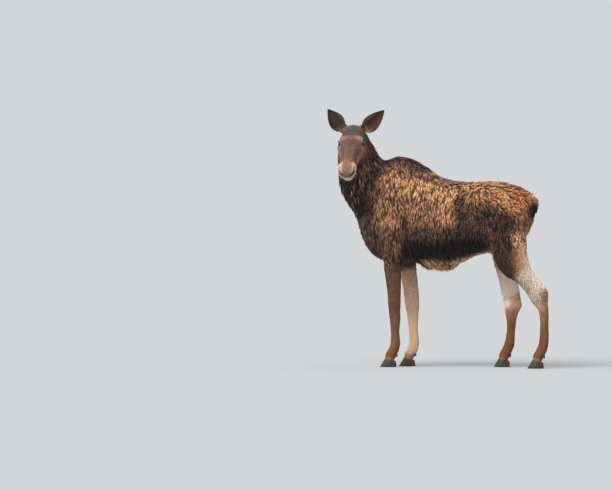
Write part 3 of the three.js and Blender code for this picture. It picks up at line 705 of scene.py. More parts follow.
# Patches painted in turn over the base: a line in metres, how far round it, how soft its edge and how strong.
# Those of the body give the distance out from the midline first, and are on both sides.
BODY_PATCHES = [
    ("tan", [[0.24, -0.30, 1.46], [0.24, 0.00, 1.36], [0.24, 0.14, 1.30]], 0.20, 0.7, 0.80),
    # The gold and croup patches are golden hair and painted sunlight from above, lightest over the upper ribs
    # and the top of the croup.
    ("gold", [[0.20, -0.22, 1.54], [0.22, -0.06, 1.51], [0.24, 0.10, 1.47], [0.22, 0.24, 1.48]],
     0.10, 0.8, 0.95),
    ("gold", [[0.26, 0.08, 1.42], [0.26, 0.10, 1.26]], 0.07, 0.9, 0.65),
    ("croup", [[0.14, 0.36, 1.50], [0.14, 0.56, 1.46], [0.12, 0.72, 1.40]], 0.16, 0.6, 0.95),
    ("gold", [[0.12, 0.46, 1.52], [0.12, 0.54, 1.44], [0.14, 0.58, 1.36]], 0.05, 0.9, 0.70),
    ("orange", [[0.00, 0.62, 1.50], [0.05, 0.70, 1.45], [0.10, 0.74, 1.42]], 0.08, 0.8, 0.80),
    ("shadow", [[0.26, 0.20, 1.44], [0.26, 0.24, 1.26], [0.24, 0.28, 1.06]], 0.085, 0.8, 0.90),
    ("shadow", [[0.22, 0.30, 1.50], [0.24, 0.34, 1.38]], 0.035, 0.9, 0.60),
    # Darker towards the underside: the belly's dark hair and painted shade under the body.
    ("band", [[0.26, -0.26, 1.13], [0.26, 0.36, 1.13]], 0.11, 0.8, 0.90),
    ("belly", [[0.26, -0.24, 1.01], [0.26, 0.00, 1.01], [0.22, 0.36, 1.04]], 0.115, 0.6, 0.98),
    ("belly", [[0.00, -0.30, 0.90], [0.00, 0.40, 0.99]], 0.12, 0.6, 0.80),
    ("shadow", [[0.24, -0.26, 1.34], [0.24, -0.25, 0.98]], 0.030, 0.9, 0.60),
    ("thigh", [[0.20, 0.42, 1.24], [0.20, 0.56, 1.18], [0.20, 0.60, 1.05]], 0.17, 0.6, 0.92),
    ("dark", [[0.08, 0.80, 1.37], [0.10, 0.85, 1.31]], 0.075, 0.8, 0.95),
    ("pale_thigh", [[0.12, 0.74, 1.10], [0.12, 0.75, 1.00], [0.12, 0.74, 0.92]], 0.12, 0.9, 1.0),
    ("orange", [[0.20, 0.48, 1.22], [0.20, 0.50, 1.14]], 0.035, 0.9, 0.45),
    ("red", [[0.00, -0.66, 1.68], [0.00, -0.40, 1.86], [0.00, -0.16, 1.74]], 0.15, 0.6, 0.95),
    ("red", [[0.00, -0.16, 1.72], [0.00, 0.10, 1.62], [0.00, 0.50, 1.60]], 0.050, 0.8, 0.80),
    ("chest", [[0.20, -0.52, 1.30], [0.17, -0.50, 1.00]], 0.13, 0.8, 0.80),
    ("arm", [[0.20, -0.42, 1.10], [0.17, -0.42, 0.96]], 0.12, 0.8, 0.85),
    ("gold", [[0.24, -0.46, 1.40], [0.24, -0.42, 1.24]], 0.13, 0.9, 0.42),
    ("gold", [[0.20, -0.40, 1.58], [0.22, -0.28, 1.52]], 0.12, 0.9, 0.50),
    ("mane", [[0.10, -0.66, 1.56], [0.16, -0.62, 1.36], [0.10, -0.66, 1.16], [0.06, -0.62, 1.02]],
     0.11, 0.8, 0.80),
    # The dark throat hair, with painted shade under the head and the jaw.
    ("throat", [[0.00, -0.80, 1.64], [0.02, -0.74, 1.48], [0.12, -0.68, 1.38]], 0.16, 0.7, 0.90),
    # Behind the jaw, the neck lightened as painted light.
    ("cheek", [[0.20, -0.66, 1.80], [0.20, -0.65, 1.72]], 0.060, 0.9, 0.85),
    # The belly's fringe: golden hair, made paler still as painted light along its lower edge.
    ("under", [[0.07, -0.12, 0.855], [0.07, 0.12, 0.855]], 0.100, 0.6, 0.90),
    ("fringe", [[0.07, -0.10, 0.850], [0.07, 0.12, 0.850]], 0.084, 0.6, 1.0),
    ("fringe", [[0.07, 0.12, 0.850], [0.07, 0.30, 0.920], [0.07, 0.44, 0.968]], 0.066, 0.6, 1.0),
]
FLAT = 0.35  # how much a patch of the body heeds the distance out from the midline
RAGGED = {"body": 0.015, "leg": 0.014, "face": 0.0015}  # how far the edges of the patches wander
# Those of the legs are in the row frame, for the legs' outer sides and for their paler inner sides.
OUTER_LEG_PATCHES = [
    ("pale_thigh", [[-0.02, 0.74, 1.10], [-0.02, 0.75, 0.98], [-0.02, 0.74, 0.84]], 0.12, 0.8, 1.0),
    ("pale_thigh", [[-0.33, 0.58, 1.08], [-0.33, 0.60, 0.96]], 0.08, 0.8, 0.70),
    ("white", [[-0.02, 0.84, 1.04], [-0.03, 0.82, 0.88], [-0.03, 0.88, 0.72]], 0.12, 0.9, 1.0),
    ("white", [[-0.03, 0.77, 0.78], [-0.03, 0.84, 0.66]], 0.12, 0.8, 0.90),
    ("white", [[-0.32, 0.64, 1.00], [-0.31, 0.65, 0.86], [-0.31, 0.64, 0.66]], 0.09, 0.8, 0.97),
    ("grey", [[-0.03, 0.84, 0.62], [-0.04, 0.88, 0.44]], 0.12, 0.8, 0.80),
    ("grey", [[-0.31, 0.60, 0.68], [-0.31, 0.60, 0.46]], 0.09, 0.8, 0.75),
    ("hock", [[-0.03, 0.95, 0.66], [-0.03, 0.95, 0.54]], 0.06, 0.9, 0.8),
    ("hock", [[-0.31, 0.68, 0.60], [-0.31, 0.66, 0.50]], 0.06, 0.9, 0.8),
    ("cannon", [[-0.04, 0.92, 0.44], [-0.04, 0.90, 0.10]], 0.11, 0.9, 0.85),
    ("cannon", [[-0.31, 0.58, 0.45], [-0.31, 0.54, 0.10]], 0.12, 0.8, 0.92),
    ("leg", [[-0.04, -0.40, 0.60], [-0.04, -0.42, 0.22]], 0.12, 0.6, 0.85),
    ("leg", [[-0.30, -0.30, 0.60], [-0.29, -0.27, 0.22]], 0.12, 0.6, 0.85),
]
INNER_LEG_PATCHES = [
    ("far_leg", [[-0.30, -0.30, 0.80], [-0.29, -0.27, 0.20]], 0.16, 0.5, 0.95),
    ("far_leg", [[-0.04, -0.40, 0.80], [-0.04, -0.42, 0.20]], 0.16, 0.5, 0.95),
    ("dark", [[-0.32, -0.34, 0.98], [-0.32, -0.33, 0.90]], 0.12, 0.6, 0.9),
    ("dark", [[-0.02, -0.36, 0.98], [-0.02, -0.37, 0.90]], 0.12, 0.6, 0.9),
    ("white", [[-0.32, 0.56, 0.96], [-0.31, 0.56, 0.72], [-0.31, 0.57, 0.56]], 0.18, 0.7, 1.0),
    ("white", [[-0.03, 0.72, 0.96], [-0.03, 0.84, 0.72], [-0.03, 0.92, 0.56]], 0.17, 0.7, 0.97),
    ("grey", [[-0.31, 0.60, 0.56], [-0.31, 0.60, 0.46]], 0.09, 0.9, 0.80),
    ("grey", [[-0.03, 0.92, 0.56], [-0.03, 0.92, 0.46]], 0.09, 0.9, 0.80),
    ("hock", [[-0.31, 0.64, 0.58], [-0.31, 0.60, 0.46]], 0.10, 0.9, 0.85),
    ("hock", [[-0.03, 0.96, 0.62], [-0.03, 0.96, 0.52]], 0.07, 0.9, 0.8),
    ("cannon", [[-0.31, 0.58, 0.45], [-0.31, 0.54, 0.10]], 0.12, 0.8, 0.92),
    ("cannon", [[-0.04, 0.92, 0.42], [-0.04, 0.90, 0.10]], 0.11, 0.9, 0.85),
]
# Those of the head are in its own axes, outward, along and up, and are on both sides.
FACE_PATCHES = [
    # The side of the jaw: reddish hair, lightened as painted light where this side lies in shade.
    ("jaw", [[0.10, 0.10, -0.10], [0.09, 0.24, -0.11], [0.05, 0.42, -0.12]], 0.070, 0.9, 0.7),
    ("cheek", [[0.11, 0.24, -0.02], [0.09, 0.34, -0.02], [0.07, 0.42, -0.02]], 0.062, 0.9, 0.85),
    # Painted shade down both sides of the nose.
    ("nose_side", [[0.072, 0.20, 0.05], [0.062, 0.32, 0.03], [0.056, 0.42, 0.03]], 0.034, 0.9, 0.65),
    ("bridge", [[0, 0.24, 0.05], [0, 0.36, 0.05]], 0.042, 0.95, 0.55),
    ("bridge", [[0, 0.36, 0.05], [0.01, 0.46, 0.06], [0.02, 0.49, 0.06]], 0.046, 0.9, 0.80),
    ("forehead", [[0, 0.085, 0.08], [0.03, 0.10, 0.08]], 0.055, 0.9, 0.85),
    ("brow", [[0, 0.165, 0.075], [0.06, 0.160, 0.075]], 0.040, 0.95, 0.50),
    ("brow", [[0.06, 0.162, 0.075], [0.10, 0.176, 0.055]], 0.040, 0.95, 0.65),
    ("ring", [[0.11, 0.168, 0.006], [0.112, 0.196, -0.004], [0.108, 0.224, 0.006], [0.100, 0.240, 0.022]],
     0.016, 0.9, 0.65),
    ("poll", [[0, 0.005, 0.09], [0.05, 0.02, 0.08]], 0.050, 0.9, 0.8),
    ("muzzle_top", [[0, 0.49, 0.06], [0.03, 0.50, 0.05], [0.06, 0.47, 0.03]], 0.050, 0.9, 0.80),
    ("muzzle", [[0.072, 0.52, 0.03], [0.070, 0.57, 0.00], [0.066, 0.56, -0.04]], 0.060, 0.9, 0.95),
    ("muzzle_top", [[0.0, 0.52, 0.06], [0.02, 0.55, 0.05]], 0.034, 0.95, 0.55),
    ("muzzle", [[0.0, 0.604, -0.045], [0.04, 0.594, -0.045], [0.06, 0.56, -0.045]], 0.032, 0.7, 0.95),
    ("muzzle", [[0.0, 0.575, -0.08], [0.03, 0.565, -0.08], [0.0, 0.55, -0.10]], 0.042, 0.8, 0.95),
    # The bare nose, grey-brown, with painted shade over it.
    ("nose", [[0, 0.590, 0.030], [0, 0.608, 0.0], [0.014, 0.606, -0.014]], 0.036, 0.9, 0.90),
    ("nose", [[0.036, 0.606, -0.012], [0.056, 0.596, 0.0], [0.070, 0.570, 0.016], [0.066, 0.54, 0.030]],
     0.020, 0.8, 0.75),
    ("lid", [[0.108, 0.170, 0.030], [0.110, 0.206, 0.026]], 0.019, 0.6, 0.95),
    ("lid", [[0.110, 0.206, 0.022], [0.100, 0.228, 0.012]], 0.009, 0.8, 0.80),
]


def toned(colours, tone):
    """Linear colours made lighter or darker without a change of hue."""
    return colours * np.minimum(tone, 0.97 / np.maximum(colours.max(-1), 1e-6))[..., None]


def paleness(colours):
    """How pale hair is, from 0 to 1: pale hair lets light through, so it takes less of the painted shade
    between and under its tufts.
    """
    return ramp(colours.mean(1), 0.35, 0.75)


def linear(colour):
    """An sRGB colour as a linear one."""
    c = np.array(colour, float)
    return np.where(c <= 0.04045, c / 12.92, ((c + 0.055) / 1.055) ** 2.4)


def mingled(colours, name, amount):
    """colours mixed with one of the hair's, by its amount at each point."""
    return colours + amount[:, None] * (linear(HAIR[name]) - colours)


def waves(points, size, seed):
    """A smooth pattern from about -1 to 1 that changes over the given size."""
    draw = np.random.default_rng(seed)
    total = np.zeros(len(points))
    for _ in range(6):
        way = unit(draw.normal(size=3)) * draw.uniform(0.6, 1.5) * 2 * math.pi / size
        total += np.sin(points @ way + draw.uniform(0, 2 * math.pi))
    return total / 2.6


def painted(colours, points, patches, ragged):
    """colours with the patches laid over them; ragged is how far their edges wander."""
    for n, (name, line, reach, soft, strength) in enumerate(patches):
        gap = near_line(points, line)[0] + ragged * waves(points, 3.2 * reach, 40 + n)
        colours = mingled(colours, name, strength * (1 - ramp(gap, reach * (1 - soft), reach)))
    return colours


def ears_at(points, normals):
    """For each ear: the places of points in its own axes, how much each is on the cup's inner side, and how
    far round the cup it is, from -1 at its front edge to 1 at its back edge. Only places near it count."""
    found = []
    for pose in EARS:
        root, axes = ear_frame(**pose)
        mirror = (pose["side"], 1, 1)
        local = (points - root) @ axes.T * mirror
        facing = normals @ axes.T * mirror
        near = (np.abs(local[:, 0]) < 0.10) & (np.abs(local[:, 1]) < 0.12)
        local = np.where(near[:, None], local, (0, 0, -1))
        t = np.clip(local[:, 2] / EAR_LENGTH, 0.01, 0.99)
        _, radius, curl = ear_section(t)
        across, behind = local[:, 0], EAR_SET * radius - EAR_BEND * t * t - local[:, 1]
        inward = unit(np.stack((-across, behind), axis=1))
        inside = ramp((facing[:, :2] * inward).sum(1), -0.1, 0.4) * near
        found.append((local, inside, np.clip(np.degrees(np.arctan2(across, behind)) / curl, -1, 1)))
    return found


def body_marks(colours, points, shares):
    """The patches of the body, the same on both sides."""
    amount = body.mixed(shares, {"trunk": 1, "neck": 1, "tail": 1, "thigh": 0.7, "foreleg": 0.5})[:, None]
    mirrored = np.abs(points - (mid_x, 0, 0)) * (FLAT, 0, 0) + points * (0, 1, 1)
    patches = [(name, np.array(line) * (FLAT, 1, 1), *rest) for name, line, *rest in BODY_PATCHES]
    return colours + amount * (painted(colours, mirrored, patches, RAGGED["body"]) - colours)


def leg_marks(colours, points, normals, shares):
    """The patches of the legs, with others on their inner sides."""
    amount = body.mixed(shares, {"thigh": 1, "shank": 1, "foreleg": 1, "claw": 1})[:, None]
    inner = ramp(normals[:, 0] * np.sign(mid_x - points[:, 0]), -0.35, 0.35)[:, None]
    outer_marks = painted(colours, points, OUTER_LEG_PATCHES, RAGGED["leg"])
    inner_marks = painted(colours, points, INNER_LEG_PATCHES, RAGGED["leg"])
    return colours + amount * (outer_marks + inner * (inner_marks - outer_marks) - colours)


def face_marks(colours, points, of_ear):
    """The patches of the face, drawn on the skin itself, and painted shade deep in the nostrils and the
    mouth.
    """
    local = in_head(points)
    local[:, 0] = np.abs(local[:, 0])
    head = headness(*local.T) * (1 - of_ear)
    on = head > 0
    tree = tree_of(local[on & (of_ear < 0.1)])
    drawn = [(name, traced(line, tree), *rest) for name, line, *rest in FACE_PATCHES]
    marked = painted(colours[on], local[on], drawn, RAGGED["face"])
    colours[on] += head[on, None] * (marked - colours[on])
    # Painted shade, darkest deepest in the nostrils and the mouth.
    return mingled(colours, "nostril", hollows.at(in_head(points)))


def ear_colours(local, inside, turned):
    """An ear's colours: dark rims, and pale hair in it along its front edge and round its root."""
    t = local[:, 2] / EAR_LENGTH
    colours = mingled(linear(HAIR["ear"]), "ear_inside", inside)
    rim = ramp(np.abs(turned), 0.78, 0.98) * ramp(t, 0.12, 0.30) + ramp(t, 0.80, 0.96)
    colours = mingled(colours, "ear_rim", np.clip(rim, 0, 1))
    pale = inside * np.exp(-(((turned + 0.72) / 0.22) ** 2)) * (1 - ramp(t, 0.45, 0.80))
    pale = np.maximum(pale, (1 - ramp(t, 0.04, 0.26)) * (0.35 + 0.65 * inside))
    pale = pale * (0.75 + 0.35 * waves(local * (1, 1, 0.2), 0.016, 9))
    return mingled(colours, "ear_pale", np.clip(pale, 0, 1))


def markings(points, normals, shares):
    """The hair's colour at places on the skin, the same for the skin and the coat."""
    of_ear = body.mixed(shares, {"ear": 1})
    colours = body.mixed(shares, {region: linear(HAIR[name]) for region, name in BASE.items()})
    colours = body_marks(colours, points, shares)
    colours = leg_marks(colours, points, normals, shares)
    colours = face_marks(colours, points, of_ear)
    # Each ear's hair is lightened or darkened by its share of painted sunlight and painted shade.
    for ear, tone in zip(ears_at(points, normals), EAR_LIT_AND_SHADED):
        here = of_ear * (ear[0][:, 2] > -0.15 * EAR_LENGTH)
        colours += here[:, None] * (tone * ear_colours(*ear) - colours)
    return colours


# ---------------------------------------------------------------- the coat

# For each region: the tufts on a square metre, how long they are and how wide.
COAT = {
    "trunk": {"count": 25000, "length": 0.044, "width": 0.0056},
    "neck": {"count": 29000, "length": 0.072, "width": 0.0040},
    "head": {"count": 42000, "length": 0.014, "width": 0.0026},
    "muzzle": {"count": 60000, "length": 0.006, "width": 0.0016},
    "tail": {"count": 26000, "length": 0.050, "width": 0.0050},
    "foreleg": {"count": 30000, "length": 0.021, "width": 0.0036},
    "thigh": {"count": 28000, "length": 0.026, "width": 0.0042},
    "shank": {"count": 34000, "length": 0.015, "width": 0.0028},
    "claw": {"count": 36000, "length": 0.020, "width": 0.0030},
    "ear": {"count": 60000, "length": 0.014, "width": 0.0020},
}
# Longer or shorter hair: a line in the row frame, how far round it, and how much longer.
LONGER = [
    ([[mid_x, -0.20, 0.88], [mid_x, 0.12, 0.88], [mid_x, 0.30, 0.94]], 0.12, 0.024),
    ([[mid_x, -0.66, 1.66], [mid_x, -0.40, 1.80], [mid_x, -0.24, 1.74]], 0.17, 0.012),
    ([[-0.12, -0.78, 2.02], [-0.15, -0.72, 1.84], [mid_x, -0.64, 1.68]], 0.16, 0.020),
    (from_head([[-0.05, -0.01, 0.08], [0.05, -0.01, 0.08]]), 0.07, 0.020),
    (NEAR_GASKIN, 0.17, -0.010),
    (FAR_GASKIN, 0.17, -0.010),
]
EAR_TUFTS = 0.009  # how much longer the hair in the ears is
STANDING = [  # where the hair stands off: a line in the row frame, how far round it, and how far the tips do
    (from_head([[-0.04, 0.00, 0.08], [0.04, 0.00, 0.08]]), 0.065, 0.017),
    ([[mid_x, -0.60, 1.74], [mid_x, -0.40, 1.84], [mid_x, -0.16, 1.72]], 0.14, 0.013),
]
SECTIONS = {  # places along a tuft where it has a section, and the section's width as a share of the widest
    "tiny": ((0.0,), (1.0,)),
    "short": ((0.0, 0.5), (0.85, 0.80)),
    "medium": ((0.0, 0.42), (0.75, 1.0)),
    "long": ((0.0, 0.30, 0.64), (0.75, 1.0, 0.66)),
}
LONGEST = {"tiny": 0.0095, "short": 0.024, "medium": 0.078}  # a kind's tufts are up to this long
FLAT_KINDS = ("tiny", "short")  # these lie straight, and the others follow the skin
CLUMP = {"tiny": 0.10, "short": 0.10, "medium": 0.085, "long": 0.09}  # the part of the tufts that draw others
CLUMP_SHAPE = (1, 0.85, 0.42)  # clumps are longer down the body than across it
FURTHEST = 0.035  # the furthest that a tuft is drawn towards its clump's centre
HANGING = ([[mid_x, -0.16, 0.86], [mid_x, 0.14, 0.86]], 0.13)  # where long hair hangs free, and how far round
HANG = 0.42  # how far it hangs, as a share of its length
VARIED = {"length": (0.72, 1.18), "width": (0.7, 1.25), "stand": (0.60, 1.12)}  # from tuft to tuft
ASTRAY = 0.10  # how far the tufts' ways stray from the coat's
BEYOND = (0.001, 0.010)  # how far tips may stand out of the solids
ROUGH = (0.018, 0.040)  # from the first to the second of these lengths the coat turns from smooth to rough
TONES = {"clump": 0.41, "tuft": 0.10, "least": 0.22, "most": 1.7}  # how tone spreads, and its limits
GAPS = (0.003, 0.013)  # between these distances from its clump's centre a tuft gets darker, as painted shade between clumps
PALE_LOCKS = {"single": 0.09, "grouped": 0.08, "paleness": 0.85}  # how many of the mane's are, and how pale
GROUPS = {  # the coat's pieces: the regions of each, and the record's slot of its finish
    "body": (("trunk",), "coat"), "neck": (("neck",), "neck_hair"), "head": (("head",), "face_hair"),
    "muzzle": (("muzzle",), "muzzle_hair"), "ears": (("ear",), "ear_hair"), "tail": (("tail",), "coat"),
    "thighs": (("thigh", "foreleg"), "coat"), "shanks": (("shank", "claw"), "leg_hair"),
}
MOST_TRIANGLES = 190000  # of one coat piece
ROOT_SHADE, TIP_SHADE = 0.46, 1.16  # how light a tuft is painted at its root and at its tip: painted shade deep in the coat, painted highlight at the tips
ROOT_DEPTH = 0.0012  # how far the tufts' roots lie under the skin
PATCH = 0.003  # of the bake's map for each tuft


def flattened(vectors, normals):
    """vectors without their part along the unit normals."""
    return vectors - (vectors * normals).sum(-1, keepdims=True) * normals


def lie(points, normals, shares):
    """Which way the hair lies, along the skin."""
    def of(*regions):
        """How much of the regions together each point has."""
        return body.mixed(shares, dict.fromkeys(regions, 1))[:, None]

    y, z = points[:, [1]], points[:, [2]]
    croup = ramp(y, 0.28, 0.46) * ramp(z, 1.18, 1.34)
    back = 0.12 + 0.95 * croup - 0.30 * np.exp(-(((y - 0.24) / 0.10) ** 2))
    top = ramp(normals[:, [2]], 0.55, 0.95)
    trunk = np.concatenate((0 * y, back, -np.ones_like(y)), axis=1) + top * np.array((0, 1.0, 0.2))
    neck = np.array((-0.10, 0.30, -1.0)) + top * np.array((-0.3, 0.5, 0))
    face = unit(np.array((0, 0, -0.25)) - HEAD_AXES[1])
    leg = unit((0, 0.12, -1.0))
    flow = of("trunk") * unit(trunk) + of("neck") * unit(neck) + of("head", "muzzle") * face
    flow = flow + of("thigh", "foreleg", "shank", "claw", "tail") * leg
    for pose in EARS:
        root, axes = ear_frame(**pose)
        local = (points - root) @ axes.T
        near = (np.abs(local[:, [0]]) < 0.09) & (local[:, [2]] > -0.02)
        flow = flow + of("ear") * near * 3 * axes[2]
    flow = flow + 0.16 * waves(points, 0.16, 5)[:, None] * np.cross(normals, flow)
    return unit(flattened(flow, normals))


def of_coat(shares, key):
    """One of the coat's measures at each point."""
    return body.mixed(shares, {region: hair[key] for region, hair in COAT.items()})


def hair_lengths(points, normals, shares, wide):
    """How long the hair is at points of the skin; wide are the shares of the regions blended further."""
    longer = np.zeros(len(points))
    for line, reach, more in LONGER:
        here = more * closeness(points, line, reach, 0.2)
        longer = np.where(np.abs(here) > np.abs(longer), here, longer)
    for local, inside, turned in ears_at(points, normals):
        open_part = inside * (1 - ramp(local[:, 2] / EAR_LENGTH, 0.35, 0.85)) * (local[:, 2] > 0.01)
        front = 0.4 + 0.6 * (1 - ramp(turned, -0.6, 0.2))
        longer = np.maximum(longer, EAR_TUFTS * body.mixed(shares, {"ear": 1}) * open_part * front)
    return of_coat(wide, "length") + longer


def widely(points, shares, links):
    """The shares blended further over the body, where one length of hair passes slowly into the next."""
    wide = evened(shares, links, WIDE_BLEND)
    return wide + headness(*in_head(points).T)[:, None] * (shares - wide)


class SkinData:
    """What the coat reads from the skin, at its points and at places inside its triangles."""

    def __init__(self, mesh):
        mesh.calc_loop_triangles()
        self.corners = read(mesh.loop_triangles, "vertices", 3, int)
        self.loops = read(mesh.loop_triangles, "loops", 3, int)
        self.uv = read(mesh.uv_layers["OFBake"].data, "uv", 2)
        self.points = places(mesh)
        self.normals = mesh_normals(mesh)
        links = mesh_links(mesh)
        self.shares = body.shares(self.points, links)
        self.depth = np.clip(-solids.at(self.points), 0.001, 0.06)
        self.colour = markings(self.points, self.normals, self.shares)
        self.flow = lie(self.points, evened(self.normals, links, 2), self.shares)
        wide = widely(self.points, self.shares, links)
        self.length = hair_lengths(self.points, self.normals, self.shares, wide)
        self.width = of_coat(wide, "width") * (1 + 2.5 * np.maximum(self.length - of_coat(wide, "length"), 0))
        self.stand = body.mixed(self.shares, {"ear": 0.004})
        for line, reach, height in STANDING:
            self.stand = np.maximum(self.stand, height * closeness(self.points, line, reach, 0.4))
        self.count = of_coat(wide, "count") * (1 - hollows.at(in_head(self.points)))
        a, b, c = (self.points[self.corners[:, i]] for i in range(3))
        self.area = np.linalg.norm(np.cross(b - a, c - a), axis=1) / 2


class Roots:
    """Where tufts stand on the skin: the triangle of each, and how near it is to each of its corners."""

    def __init__(self, data, triangle, share):
        self.data, self.triangle, self.share = data, triangle, share

    def __len__(self):
        return len(self.triangle)

    def picked(self, which):
        """Some of the roots."""
        return Roots(self.data, self.triangle[which], self.share[which])

    def within(self, corners):
        """The corners' values, at the roots."""
        return (corners * self.share.reshape(self.share.shape + (1,) * (corners.ndim - 2))).sum(1)

    def read(self, values):
        """values of the skin's points, at the roots."""
        return self.within(values[self.data.corners[self.triangle]])

    def first(self, values):
        """values of the skin's points, each at the first corner of its root's triangle."""
        return values[self.data.corners[self.triangle, 0]]


def planted(data, rng):
    """Random roots over the skin, as many as each region asks for."""
    total = np.cumsum(data.area * data.count[data.corners].mean(1))
    number = int(total[-1])
    place = (np.arange(number) + rng.random(number)) * total[-1] / number
    triangle = np.minimum(np.searchsorted(total, place), len(total) - 1)
    return Roots(data, triangle, rng.dirichlet((1, 1, 1), number))


def tuft_faces(sections):
    """One tuft's faces, which are its three sides, its tip and its closed root, and their corners' places in
    its patch of the map."""
    rings = len(sections)
    faces, map_places = [], []
    for k in range(rings - 1):
        for j in range(3):
            a, b = 3 * k + j, 3 * k + (j + 1) % 3
            faces.append((a, b, b + 3, a + 3))
            low, high = sections[k], sections[k + 1]
            map_places.append(((j / 3, low), ((j + 1) / 3, low), ((j + 1) / 3, high), (j / 3, high)))
    for j in range(3):
        a, b = 3 * (rings - 1) + j, 3 * (rings - 1) + (j + 1) % 3
        faces.append((a, b, 3 * rings))
        map_places.append(((j / 3, sections[-1]), ((j + 1) / 3, sections[-1]), ((j + 0.5) / 3, 1)))
    faces.append((2, 1, 0))
    map_places.append(((1, 0), (0.5, 0.1), (0, 0)))
    return faces, map_places


def triangles_in(kind):
    """How many triangles a tuft of this kind has."""
    return 6 * (len(SECTIONS[kind][0]) - 1) + 4


def followed(roots, normals, ways, lengths, stops, over):
    """Points over the skin, each its share of the tuft's length away from the root, and the way up there."""
    spots, ups = [roots], [normals]
    for gone, stop in zip(stops[:-1], stops[1:]):
        spot = spots[-1] + ways * (lengths * (stop - gone))[:, None]
        up = over.slope(spot)
        spot = spot - over.at(spot)[:, None] * up
        ways = unit(flattened(ways, up))
        spots.append(spot)
        ups.append(up)
    return np.stack(spots, axis=1), np.stack(ups, axis=1)


def clumped(roots, part, rng):
    """For each root, the nearest of a random part of them."""
    centres = np.flatnonzero(rng.random(len(roots)) < part)
    squeezed = roots * CLUMP_SHAPE
    tree = tree_of(squeezed[centres])
    return centres[[tree.find(root)[1] for root in squeezed]]


def raised(roots, kind, over, rng):
    """The tufts of one kind before they clump: their sections' centres and upward vectors."""
    data, number = roots.data, len(roots)
    points, normals = roots.read(data.points), unit(roots.read(data.normals))
    lengths = roots.read(data.length) * rng.uniform(*VARIED["length"], number)
    widths = roots.read(data.width) * rng.uniform(*VARIED["width"], number)
    ways = unit(roots.read(data.flow))
    ways = unit(flattened(unit(ways + rng.normal(0, ASTRAY, ways.shape)), normals))
    stops = np.array(SECTIONS[kind][0] + (1.0,))
    depths = roots.read(data.depth)
    if kind in FLAT_KINDS:
        depths = 0.55 * depths
        spots = points[:, None] + ways[:, None] * (lengths[:, None] * stops)[:, :, None]
        ups = np.repeat(normals[:, None], len(stops), axis=1)
    else:
        spots, ups = followed(points, normals, ways, lengths, stops, over)
    stand = np.maximum(depths, roots.read(data.stand)) * rng.uniform(*VARIED["stand"], number)
    rise = np.sin(math.pi / 2 * stops) ** 0.9
    spots = spots + (stand[:, None] * rise - ROOT_DEPTH)[:, :, None] * ups
    hang = HANG * closeness(points, *HANGING, 0.3)
    spots[:, :, 2] -= (hang * lengths)[:, None] * stops ** 1.5
    return spots, ups, widths, hang, stops


def drawn_together(spots, stops, centre, rough):
    """Tufts drawn towards their clump's centre, long ones the most; and how far off it each stands."""
    aside = flattened(spots[centre] - spots, unit(spots[:, -1] - spots[:, 0])[:, None])
    off = np.linalg.norm(aside[:, 0], axis=1)
    aside *= np.minimum(1, FURTHEST / np.maximum(np.linalg.norm(aside, axis=2, keepdims=True), 1e-6))
    pull = (0.25 + 0.55 * rough)[:, None] * stops ** 1.1
    return spots + pull[:, :, None] * aside, off


def tuft_colours(roots, rough, centre, off, rng):
    """A colour for each tuft: alike in a clump, lighter at its middle as painted highlight and darker between
    clumps as painted shade, with paler locks in the mane.
    """
    number = len(roots)
    tone = 1 + TONES["clump"] * rng.normal(size=number)[centre] * rough
    tone += TONES["tuft"] * rng.normal(size=number)
    # Painted shade between clumps and a painted highlight at their middles.
    tone *= 1.15 + 0.25 * rough - 1.05 * rough * ramp(off, *GAPS)
    single = rng.random(number) < PALE_LOCKS["single"]
    grouped = (rng.random(number) < PALE_LOCKS["grouped"])[centre]
    pale = body.mixed(roots.read(roots.data.shares), {"neck": PALE_LOCKS["paleness"]}) * (single | grouped)
    colours = roots.read(roots.data.colour)
    colours += pale[:, None] * (linear(PALE_LOCK) - colours)
    return toned(colours, np.clip(tone, TONES["least"], TONES["most"]))


def grown(roots, kind, over, rng):
    """The tufts of one kind: their sections' centres and upward vectors, and their widths and colours."""
    spots, ups, widths, hang, stops = raised(roots, kind, over, rng)
    rough = ramp(roots.read(roots.data.length), *ROUGH)
    centre = clumped(roots.read(roots.data.points), CLUMP[kind], rng)
    spots, off = drawn_together(spots, stops, centre, rough)
    if kind not in FLAT_KINDS:
        rows = spots.reshape(-1, 3)
        spare = rng.uniform(*BEYOND, len(roots)) + 0.09 * hang * rng.random(len(roots))
        beyond = solids.at(rows) - np.repeat(spare, len(stops))
        spots = (rows - np.maximum(beyond, 0)[:, None] * solids.slope(rows)).reshape(spots.shape)
    return spots, ups, widths, tuft_colours(roots, rough, centre, off, rng)


def tuft_points(made, profile, rng):
    """The points of three-sided tufts, a row for each tuft: three round each section, and the tip."""
    spots, ups, widths, _ = made
    number, rings = len(spots), len(profile)
    run = unit(spots[:, 1:] - spots[:, :-1])
    side = unit(np.cross(run, ups[:, :-1]))
    up = np.cross(side, run)
    roll = rng.uniform(-0.5, 0.5, number)[:, None, None]
    side, up = np.cos(roll) * side + np.sin(roll) * up, np.cos(roll) * up - np.sin(roll) * side
    half = (widths[:, None] * np.array(profile) / 2)[:, :, None]
    base = spots[:, :-1]
    ring = np.stack((base - half * side, base + half * side, base + 0.8 * half * up), axis=2)
    return np.concatenate((ring.reshape(number, 3 * rings, 3), spots[:, -1:]), axis=1)


def tuft_mesh(name, points, faces):
    """A mesh of tufts that all have the same faces, from a row of points for each."""
    number, each = points.shape[:2]
    corners = np.concatenate([np.array(face) for face in faces])
    starts = np.cumsum([0] + [len(face) for face in faces[:-1]])
    step = np.arange(number)[:, None]
    mesh = bpy.data.meshes.new(name)
    mesh.vertices.add(number * each)
    mesh.loops.add(number * len(corners))
    mesh.polygons.add(number * len(faces))
    mesh.loops.foreach_set("vertex_index", (corners + each * step).ravel())
    mesh.polygons.foreach_set("loop_start", (starts + len(corners) * step).ravel())
    smooth_shaded(mesh)
    mesh.vertices.foreach_set("co", points.ravel())
    mesh.update(calc_edges=True)
    return mesh


